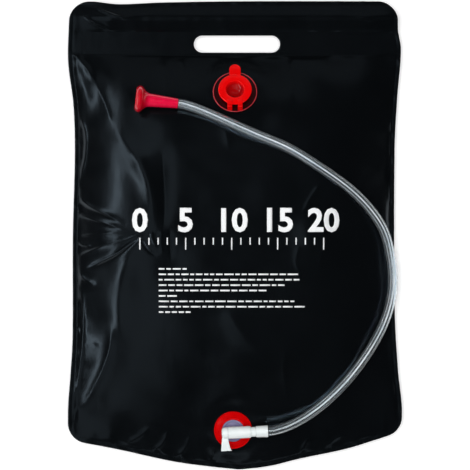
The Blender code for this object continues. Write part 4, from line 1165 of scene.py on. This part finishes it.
def make_looks():
    return {
        "film": film_look("black_pvc_film", 0.22),
        "film_back": film_look("black_pvc_back", 0.30),
        # Lid: its deeper colours are painted shade in the bowl of its plug
        "lid": moulded_look(
            "bright_red_pvc", (0.74, 0.0010, 0.0015), (0.82, 0.0014, 0.0020), 0.24, 0.55, 0.12,
            deep_red_and_shade=((0.27, 0.0006, 0.0014), (0.36, 0.0010, 0.0022)),
        ),
        "flange": moulded_look("deep_red_pvc", (0.018, 0.0012, 0.0018), (0.028, 0.0015, 0.0022), 0.20, 0.6),
        # A paler red skin on the flange's bead: a painted highlight
        "rim": moulded_look("rim_highlight_red_pvc", (0.34, 0.020, 0.030), (0.50, 0.045, 0.055), 0.16, 0.8),
        "outlet": moulded_look(
            "outlet_red_pvc", (0.53, 0.0006, 0.0012), (0.60, 0.0008, 0.0016), 0.24, specular=0.06,
        ),
        "seat": moulded_look("blue_grey_plastic", (0.17, 0.16, 0.28), (0.22, 0.20, 0.33), 0.40),
        "rubber": moulded_look("seal_rubber", (0.012, 0.012, 0.012), (0.020, 0.020, 0.020), 0.70),
        "white": moulded_look("white_tap_plastic", (0.80, 0.86, 0.86), (0.86, 0.91, 0.91), 0.30, 0.2),
        "tube": moulded_look("grey_tube_plastic", (0.30, 0.30, 0.30), (0.36, 0.36, 0.36), 0.50),
        # Head: a deeper red towards its flare
        "head": moulded_look(
            "red_head_plastic", (0.70, 0.0020, 0.0380), (0.82, 0.0035, 0.0540), 0.12, 0.8,
            deep_red_and_shade=((0.46, 0.0008, 0.0100), (0.56, 0.0012, 0.0150)),
        ),
        "hose": hose_look(),
        "ink": ink_look(),
    }


def turned(profile):
    """A solid of revolution about Z from a closed profile of (radius, height) points."""
    bm = bmesh.new()
    verts = [bm.verts.new((radius, 0, height)) for radius, height in profile]
    edges = [bm.edges.new((verts[i], verts[(i + 1) % len(verts)])) for i in range(len(verts))]
    bmesh.ops.spin(
        bm, geom=verts + edges, axis=(0, 0, 1), cent=(0, 0, 0), steps=TURN_STEPS,
        angle=2 * math.pi, use_merge=True,
    )
    bmesh.ops.remove_doubles(bm, verts=bm.verts, dist=MERGE)
    bmesh.ops.delete(bm, geom=[e for e in bm.edges if not e.link_faces], context="EDGES")
    bmesh.ops.recalc_face_normals(bm, faces=bm.faces)
    return bm


def prism(outline, low, high):
    bm = bmesh.new()
    face = bm.faces.new([bm.verts.new((x, y, low)) for x, y in outline])
    grown = bmesh.ops.extrude_face_region(bm, geom=[face])["geom"]
    moved = [v for v in grown if isinstance(v, bmesh.types.BMVert)]
    bmesh.ops.translate(bm, verts=moved, vec=(0, 0, high - low))
    bmesh.ops.recalc_face_normals(bm, faces=bm.faces)
    return bm


def eased(bm, width):
    """The shape with its sharp edges rounded."""
    sharp = [e for e in bm.edges if e.calc_face_angle(0.0) > EASED_ANGLE]
    bmesh.ops.bevel(
        bm, geom=sharp, offset=width, offset_type="OFFSET", segments=EASE_STEPS, profile=0.5,
        affect="EDGES", clamp_overlap=True,
    )
    return bm


def arc(centre, radius, start, end, steps=ARC_STEPS):
    points = []
    for i in range(steps + 1):
        angle = math.radians(start + (end - start) * i / steps)
        points.append((centre[0] + radius * math.cos(angle), centre[1] + radius * math.sin(angle)))
    return points


def moved(bm, matrix):
    bmesh.ops.transform(bm, matrix=matrix, verts=bm.verts)
    return bm


def piece(name, shapes, matrix, material, body, node):
    """One object from several shapes, placed in the world. It stands for a node, if one is given."""
    whole = bmesh.new()
    for shape in shapes:
        part = bpy.data.meshes.new("part")
        shape.to_mesh(part)
        shape.free()
        whole.from_mesh(part)
        bpy.data.meshes.remove(part)
    moved(whole, matrix)
    mesh = bpy.data.meshes.new(name)
    whole.to_mesh(mesh)
    whole.free()
    mesh.materials.append(material)
    mesh.shade_smooth()
    mesh.set_sharp_from_angle(angle=SHARP_ANGLE)
    obj = in_scene(name, mesh)
    belongs(obj, body, node)
    return obj


def make_flange(looks, place):
    """Flange of an opaque, very dark red, as see-through red looks on black film, with its neck."""
    lip = (NECK_RADIUS - NECK_BORE_RADIUS) / 2
    flange = [
        (NECK_BORE_RADIUS, -NECK_DEPTH),
        (NECK_RADIUS, -NECK_DEPTH),
        (NECK_RADIUS, SEAT_GAP),
        (FLANGE_RADIUS, SEAT_GAP),
        *arc((FLANGE_RADIUS - FLANGE_BEAD, FLANGE_TOP), FLANGE_BEAD, 0, 180),
        *arc((NECK_RADIUS + FLANGE_BEAD, FLANGE_TOP + FLANGE_BEAD), FLANGE_BEAD, -90, -180, BEAD_STEPS),
        *arc((NECK_BORE_RADIUS + lip, NECK_HEIGHT - lip), lip, 0, 180),
    ]
    piece("filler_flange", [turned(flange)], place, looks["flange"], "bag", "filler_base")


def lid_profile():
    """Half the section of the lid, its plug and the bowl in the plug."""
    edge, ease = LID_THICKNESS / 2, PLUG_FLOOR / 2
    plug = NECK_BORE_RADIUS - PLUG_CLEARANCE
    floor = LID_BOTTOM - PLUG_DEPTH
    return [
        (0.0, floor),
        (plug - PLUG_TAPER, floor),
        (plug, LID_BOTTOM - PLUG_DEPTH / 3),
        (plug, LID_BOTTOM),
        *arc((LID_RADIUS - edge, LID_BOTTOM + edge), edge, -90, 90),
        *arc((RECESS_RADIUS + ease, LID_BOTTOM + LID_THICKNESS - ease), ease, 90, 180, BEND_STEPS),
        *arc((0.0, floor + PLUG_FLOOR + BOWL_RADIUS), BOWL_RADIUS, BOWL_EDGE_DEGREES, -90, BOWL_STEPS),
    ]


def make_lid(looks, place):
    """Bright lid with its dished plug, its pull tab and the two lugs that its straps hold, with painted shade
    darkening its bowl.
    """
    _, hinge_y, hinge_z = HINGE_PLACE
    low, high = TAB_INSET - LID_THICKNESS / 2, LID_THICKNESS / 2 - TAB_INSET
    half = TAB_WIDTH / 2
    tip = LID_RADIUS + TAB_REACH - half
    root = RECESS_RADIUS + PLUG_FLOOR
    tab = [(half, root), *arc((0.0, tip), half, 0, 180, TAB_STEPS), (-half, root)]
    tab_shape = eased(prism(tab, low, high), TAB_EASE)
    shapes = [turned(lid_profile()), moved(tab_shape, Matrix.Translation((0, 0, hinge_z)))]
    near = HINGE_BEAD_RADIUS + SEAT_GAP
    for side in (-1, 1):
        middle = side * STRAP_SPACING / 2
        lug = bar(middle - STRAP_WIDTH / 2, middle + STRAP_WIDTH / 2, near, near + LUG_LENGTH)
        shape = eased(prism(lug, low, LID_THICKNESS / 2 + LUG_RISE), LUG_EASE)
        shapes.append(moved(shape, Matrix.Translation((0, hinge_y, hinge_z))))
    cap = piece("filler_cap", shapes, place, looks["lid"], "lid", "filler_lid")
    # Painted shade: the bowl darkens with depth below the lid's top
    places = [place.inverted() @ v.co for v in cap.data.vertices]
    lid_top = LID_BOTTOM + LID_THICKNESS
    depths = [(lid_top - co.z) * (math.hypot(co.x, co.y) < RECESS_RADIUS) for co in places]
    mark(cap, "deep_red_and_shade", [min(max(depth / RECESS_SHADE_DEPTH, 0.0), 1.0) for depth in depths])


def make_straps(looks, place):
    """The two straps that hold the lid's lugs in their round heads."""
    _, hinge_y, hinge_z = HINGE_PLACE
    foot = hinge_z - (FLANGE_THICKNESS + 2 * SEAT_GAP + FLANGE_BEAD)
    half = STRAP_THICKNESS / 2
    outline = [
        (-STRAP_SPLAY - half, -foot),
        (-STRAP_SPLAY + half, -foot),
        *arc((0.0, 0.0), HINGE_BEAD_RADIUS, *STRAP_ROUND_DEGREES, STRAP_STEPS),
    ]
    upright = Matrix(((0, 0, 1, 0), (1, 0, 0, 0), (0, 1, 0, 0), (0, 0, 0, 1)))
    for name, side in (("left", -1), ("right", 1)):
        strap = moved(eased(prism(outline, -STRAP_WIDTH / 2, STRAP_WIDTH / 2), STRAP_EASE), upright)
        spot = place @ Matrix.Translation((side * STRAP_SPACING / 2, hinge_y, hinge_z))
        node = f"hinge_strap_{name}"
        piece(f"cap_strap_{name}", [strap], spot, looks["lid"], "bag", node)


def make_filler(looks):
    """The filler's pieces, with a painted highlight: a paler red skin over the bead round the flange's rim.
    """
    place = FILLER.frame()
    make_flange(looks, place)
    make_lid(looks, place)
    # Painted highlight: a paler red skin over the top of the flange's bead
    middle = (FLANGE_RADIUS - FLANGE_BEAD, FLANGE_TOP)
    rim = arc(middle, FLANGE_BEAD + RIM_HIGHLIGHT_SKIN, *RIM_HIGHLIGHT_DEGREES, ROUND_STEPS)
    piece("flange_rim_highlight", [turned(rim)], place, looks["rim"], "bag", None)
    make_straps(looks, place)


def make_outlet(looks):
    """Red base with its conical boss, and the blue-grey bush round the tap's stem."""
    place = OUTLET.frame()
    low = SEAT_GAP
    top = BASE_THICKNESS + low
    boss = SOCKET_HEIGHT - BASE_BEAD
    base = [
        (BASE_BORE_RADIUS, -BASE_SPIGOT_DEPTH),
        (BASE_SPIGOT_RADIUS, -BASE_SPIGOT_DEPTH),
        (BASE_SPIGOT_RADIUS, low),
        (BASE_RADIUS, low),
        *arc((BASE_RADIUS - BASE_BEAD, top), BASE_BEAD, 0, 180),
        (SOCKET_RADIUS + BASE_BEAD, boss),
        *arc((SOCKET_RADIUS, boss), BASE_BEAD, 20, 90, BEAD_STEPS),
        (SEAT_RADIUS + SEAT_GAP, SOCKET_HEIGHT),
        (SEAT_RADIUS + SEAT_GAP, SOCKET_FLOOR),
        (BASE_BORE_RADIUS, SOCKET_FLOOR),
    ]
    piece("outlet_flange", [turned(base)], place, looks["outlet"], "bag", "outlet_base")

    hole = STEM_RADIUS + SEAT_GAP
    low = SOCKET_FLOOR + SEAT_GAP
    lip = SEAT_LIP_WIDTH / 2
    high = low + SEAT_THICKNESS
    seat = [
        (hole, low),
        (SEAT_RADIUS, low),
        *arc((SEAT_RADIUS - lip / 2, high - lip / 2), lip / 2, 0, 90, BEAD_STEPS),
        (SEAT_RADIUS - SEAT_LIP_WIDTH, high),
        (SEAT_RADIUS - SEAT_LIP_WIDTH - lip, high - lip),
        (hole + lip, high - lip),
        (hole, high),
    ]
    piece("outlet_bush", [turned(seat)], place, looks["seat"], "bag", "outlet_seat")


def tap_frame():
    lift = Matrix.Translation((0.0, 0.0, TAP_AXIS_HEIGHT))
    return OUTLET.frame() @ Matrix.Rotation(TAP_TURN, 4, "Z") @ lift


def make_pipe(looks, place):
    """The tap's pipe with its neck and barb, and the stem under it."""
    barb_end = COLLAR_LEFT + COLLAR_LENGTH - SEAT_GAP
    rounded = PIPE_RADIUS - PIPE_EASE
    neck_end = PIPE_RIGHT + PIPE_NECK_LENGTH
    pipe = [
        (0.0, -PIPE_LEFT),
        *arc((rounded, -PIPE_LEFT + PIPE_EASE), PIPE_EASE, -90, 0, BEAD_STEPS),
        *arc((rounded, PIPE_RIGHT - PIPE_EASE), PIPE_EASE, 0, 90, BEAD_STEPS),
        (PIPE_NECK_RADIUS, PIPE_RIGHT),
        (PIPE_NECK_RADIUS, neck_end),
        (BARB_RADIUS, neck_end),
        (BARB_RADIUS, barb_end),
        (0.0, barb_end),
    ]
    base = -TAP_AXIS_HEIGHT - STEM_DEPTH
    stem = [(0.0, base), (STEM_RADIUS, base), (STEM_RADIUS, 0.0), (0.0, 0.0)]
    shapes = [moved(turned(pipe), TO_X), turned(stem)]
    piece("tap_pipe", shapes, place, looks["white"], "bag", "tap_body")


def lever_outline():
    """The fan seen from the front: straight on its outer side, curving out to the tip on the pipe's side."""
    tip_middle = (LEVER_LEFT + LEVER_RIGHT) / 2 + LEVER_TIP_SHIFT
    tip_left, tip_right = tip_middle - LEVER_TIP_WIDTH / 2, tip_middle + LEVER_TIP_WIDTH / 2
    start = -PIPE_RADIUS - SEAT_GAP
    across, up = LEVER_RIGHT - tip_right, start + LEVER_REACH
    shares = [i / LEVER_STEPS for i in range(LEVER_STEPS + 1)]
    curve = [(tip_right + across * share**LEVER_CURVE_BEND, -LEVER_REACH + up * share) for share in shares]
    outer = LEVER_LEFT + LEVER_SIDE_INSET
    return [(outer, 0.0), (outer, start / 3), (tip_left, -LEVER_REACH), *curve, (LEVER_RIGHT, 0.0)]


def make_lever(looks, place):
    """Round head beside the pipe and the flat fan that is pushed."""
    dome = LEVER_HEAD_LENGTH / 2
    head = [
        (0.0, LEVER_LEFT),
        *arc((LEVER_HEAD_RADIUS - dome, LEVER_LEFT + dome), dome, -90, 0, ROUND_STEPS),
        (LEVER_HEAD_RADIUS, LEVER_RIGHT),
        (0.0, LEVER_RIGHT),
    ]
    half = LEVER_THICKNESS / 2
    shapes = [moved(turned(head), TO_X), eased(prism(lever_outline(), -half, half), LEVER_EASE)]
    piece("tap_handle", shapes, place, looks["white"], "lever", "tap_lever")


def make_collar(looks, place):
    """The collar that holds the hose on the tap's barb."""
    inner = BARB_RADIUS + COLLAR_CLEARANCE
    end = COLLAR_LEFT + COLLAR_LENGTH
    ease = COLLAR_TAPER
    collar = [
        (inner, COLLAR_LEFT),
        *arc((COLLAR_RADIUS - COLLAR_TAPER - ease, COLLAR_LEFT + ease), ease, -90, 0, BEAD_STEPS),
        *arc((COLLAR_RADIUS - ease, end - ease), ease, 0, 90, BEAD_STEPS),
        (inner, end),
    ]
    shapes = [moved(turned(collar), TO_X)]
    return piece("tap_collar", shapes, place, looks["white"], "bag", "hose_collar")


def head_frame():
    """Origin at the hose's end, Z towards the spray face."""
    x, y = HEAD_TAIL_PLACE
    face_x, face_y = x + HEAD_LENGTH * math.cos(HEAD_TURN), y + HEAD_LENGTH * math.sin(HEAD_TURN)
    tail_z = FRONT_Z + rise_at(x, y) + HEAD_TAIL_RADIUS + HEAD_TAIL_LIFT
    face_z = FRONT_Z + rise_at(face_x, face_y) + HEAD_RIM_RADIUS + HEAD_FACE_LIFT
    tail, face = Vector((x, y, tail_z)), Vector((face_x, face_y, face_z))
    return Matrix.Translation(tail) @ (face - tail).to_track_quat("Z", "Y").to_matrix().to_4x4()


def make_head(looks):
    """Trumpet-shaped head: a slim cone that flares into a thick round rim."""
    face = HEAD_LENGTH
    rim_low = face - HEAD_RIM_THICKNESS
    flare = rim_low - HEAD_FLARE_LENGTH
    rim = HEAD_RIM_THICKNESS / 2
    rim_arc = arc((HEAD_RIM_RADIUS - rim, rim_low + rim), rim, HEAD_RIM_DEGREES, 90, HEAD_STEPS)
    spread, climb = rim_arc[0][0] - HEAD_GRIP_RADIUS, rim_arc[0][1] - flare
    flare_line = []
    for share in np.arange(HEAD_STEPS) / HEAD_STEPS:
        flare_line.append((HEAD_GRIP_RADIUS + spread * share**HEAD_FLARE_BEND, flare + climb * share))
    bore_end = face - ROSE_RECESS - ROSE_THICKNESS - SEAT_GAP
    mouth = ROSE_RADIUS + SEAT_GAP
    ease = HEAD_TAIL_EASE
    body = [
        (HEAD_BORE_RADIUS, SEAT_GAP),
        *arc((HEAD_TAIL_RADIUS - ease, SEAT_GAP + ease), ease, -90, 0, BEND_STEPS),
        *flare_line,
        *rim_arc,
        (mouth, face),
        (mouth, bore_end),
        (HEAD_BORE_RADIUS, bore_end - HEAD_CONE_LENGTH),
    ]
    place = head_frame()
    head = piece("shower_head", [turned(body)], place, looks["head"], "bag", "head_body")
    along = [(place.inverted() @ v.co).z - flare for v in head.data.vertices]
    mark(head, "deep_red_and_shade", [float(smooth_step(past / HEAD_FLARE_LENGTH)) for past in along])
    return head


def smooth_route(points, spacing):
    """Even steps on a smooth curve through the route's points, whose first and last stretch are straight."""
    knots = [Vector(p) for p in points]
    fine = [knots[0], *curve_through(knots, ROUTE_STEPS), knots[-1]]
    travelled = [0.0]
    for start, end in zip(fine, fine[1:]):
        travelled.append(travelled[-1] + (end - start).length)
    count = round(travelled[-1] / spacing)
    route, index = [], 0
    for step in range(count + 1):
        goal = travelled[-1] * step / count
        while index < len(fine) - 2 and travelled[index + 1] < goal:
            index += 1
        share = (goal - travelled[index]) / max(travelled[index + 1] - travelled[index], MERGE)
        route.append(fine[index].lerp(fine[index + 1], share))
    for _ in range(ROUTE_SMOOTHING):
        inner = range(ROUTE_HELD, len(route) - ROUTE_HELD)
        route[ROUTE_HELD:-ROUTE_HELD] = [route[i].lerp((route[i - 1] + route[i + 1]) / 2, 0.5) for i in inner]
    return route


def tube_mesh(name, route, radii, sides, material):
    """A hollow tube along a route: outer wall, inner wall and two flat ends."""
    rings = []
    across = Vector((0, 0, 1))
    for i, spot in enumerate(route):
        ahead = (route[min(i + 1, len(route) - 1)] - route[max(i - 1, 0)]).normalized()
        across = (across - ahead * across.dot(ahead)).normalized()
        rings.append((spot, across.copy(), ahead.cross(across)))
    verts, faces = [], []
    for radius in radii:
        for spot, up, side in rings:
            for k in range(sides):
                turn = 2 * math.pi * k / sides
                verts.append(tuple(spot + radius * (math.cos(turn) * up + math.sin(turn) * side)))
    count = len(route)
    for wall in range(2):
        first = wall * count * sides
        for i in range(count - 1):
            for k in range(sides):
                a, b = first + i * sides + k, first + i * sides + (k + 1) % sides
                quad = (a, b, b + sides, a + sides)
                faces.append(quad if wall == 0 else quad[::-1])
    for end in (0, count - 1):
        for k in range(sides):
            a, b = end * sides + k, end * sides + (k + 1) % sides
            inner = count * sides
            quad = (a, a + inner, b + inner, b)
            faces.append(quad if end == 0 else quad[::-1])
    obj = mesh_object(name, verts, faces, material)
    obj.data.set_sharp_from_angle(angle=TUBE_SHARP_ANGLE)
    return obj


def painted_wall_highlights(share):
    """Painted highlight lines: how milky the outer wall is at each vertex of a ring, by its angle round the
    hose.
    """
    turns = (360 * np.arange(HOSE_SIDES) / HOSE_SIDES - HIGHLIGHT_LINE_TURN * (share - 0.5) + 180) % 360 - 180
    lines = sum(weight * np.exp(-(((turns - middle) / width) ** 2)) for middle, width, weight in HIGHLIGHT_LINES)
    return np.minimum(lines, 1.0) * np.interp(share, *HIGHLIGHT_LINE_STRENGTH)


def make_hose(looks):
    """The clear hose, with a faint painted glow in its bore and painted highlight lines along its wall."""
    route = smooth_route(HOSE_ROUTE, HOSE_SPACING)
    hose = tube_mesh("clear_hose", route, (HOSE_RADIUS, HOSE_BORE_RADIUS), HOSE_SIDES, looks["hose"])
    shares = np.arange(len(route)) / len(route)
    # Painted highlights: milky lines on the outer wall and a glow in the bore
    wall = np.concatenate([painted_wall_highlights(share) for share in shares])
    mark(hose, "painted_highlight", np.concatenate([wall, np.repeat(np.interp(shares, *BORE_PAINTED_GLOW), HOSE_SIDES)]))
    belongs(hose, "bag", "hose")


def carry_over(looks):
    """Looks for the nodes whose solids stay."""
    for node, look in (("handle_tube", "tube"), ("stem_seal", "rubber"), ("head_rose", "head")):
        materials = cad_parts[node].data.materials
        materials.clear()
        materials.append(looks[look])


def make_camera():
    data = bpy.data.cameras.new("camera")
    data.angle = CAMERA_ANGLE
    data.clip_start, data.clip_end = CAMERA_CLIP
    camera = in_scene("camera", data)
    camera.location = CAMERA_PLACE
    bpy.context.scene.camera = camera


def lamp(name, azimuth, elevation, distance, size, radiance, in_gloss):
    """A soft box at a direction from the bag, facing it, with the brightness that it shows in reflections."""
    data = bpy.data.lights.new(name, "AREA")
    data.shape = "RECTANGLE"
    data.size, data.size_y = size
    data.energy = radiance * math.pi * size[0] * size[1]
    obj = in_scene(name, data)
    turn, up = math.radians(azimuth), math.radians(elevation)
    aim = Vector((math.cos(up) * math.cos(turn), math.cos(up) * math.sin(turn), math.sin(up)))
    obj.location = aim * distance
    obj.rotation_euler = aim.to_track_quat("Z", "Y").to_euler()
    obj.visible_camera = False
    obj.visible_glossy = in_gloss


def make_lights():
    """Strips for the highlights on slanting film, a dim wall on the left, and an even light above."""
    for values in LAMPS:
        lamp(*values)
    world = bpy.data.worlds.new("studio")
    bpy.context.scene.world = world
    world.use_nodes = True
    nodes, links = world.node_tree.nodes, world.node_tree.links
    lit = nodes["Background"]
    set_inputs(lit, {"Color": WHITE, "Strength": WORLD_STRENGTH})
    seen = nodes.new("ShaderNodeBackground")
    set_inputs(seen, {"Strength": 1.0})
    path = nodes.new("ShaderNodeLightPath")
    mix = nodes.new("ShaderNodeMixShader")
    links.new(path.outputs["Is Camera Ray"], mix.inputs["Fac"])
    links.new(lit.outputs["Background"], mix.inputs[1])
    links.new(seen.outputs["Background"], mix.inputs[2])
    links.new(mix.outputs["Shader"], nodes["World Output"].inputs["Surface"])


def larger(tree, first, second):
    """The larger of two sockets' values."""
    node = tree.nodes.new("ShaderNodeMath")
    node.operation = "MAXIMUM"
    tree.links.new(first, node.inputs[0])
    tree.links.new(second, node.inputs[1])
    return node.outputs["Value"]


def make_floor():
    """A pale floor that shows white to the camera and in reflections, and keeps the bag's shadow."""
    bm = bmesh.new()
    bmesh.ops.create_grid(bm, x_segments=1, y_segments=1, size=FLOOR_SIZE)
    mesh = bpy.data.meshes.new("floor")
    bm.to_mesh(mesh)
    bm.free()
    floor = in_scene("floor", mesh)
    floor.location.z = -FLOOR_DROP
    material, tree, shader = new_material("pale_floor")
    set_inputs(shader, {
        "Base Color": FLOOR_COLOR, "Roughness": FLOOR_ROUGHNESS, "Specular IOR Level": 0.0,
        "Emission Color": WHITE,
    })
    rays = tree.nodes.new("ShaderNodeLightPath").outputs
    seen = larger(tree, rays["Is Camera Ray"], rays["Is Glossy Ray"])
    seen = larger(tree, seen, rays["Is Transmission Ray"])
    tree.links.new(ranged(tree, seen, 0.0, FLOOR_GLOW, 0.0, 1.0), shader.inputs["Emission Strength"])
    mesh.materials.append(material)


def main():
    """The camera and the lights, then the bag's fittings, hose and film."""
    bpy.context.scene.view_settings.view_transform = "Standard"
    make_camera()
    make_lights()
    make_floor()
    looks = make_looks()
    make_filler(looks)
    make_outlet(looks)
    place = tap_frame()
    make_pipe(looks, place)
    make_lever(looks, place)
    collar = make_collar(looks, place)
    head = make_head(looks)
    make_hose(looks)
    make_film(looks)
    carry_over(looks)


main()
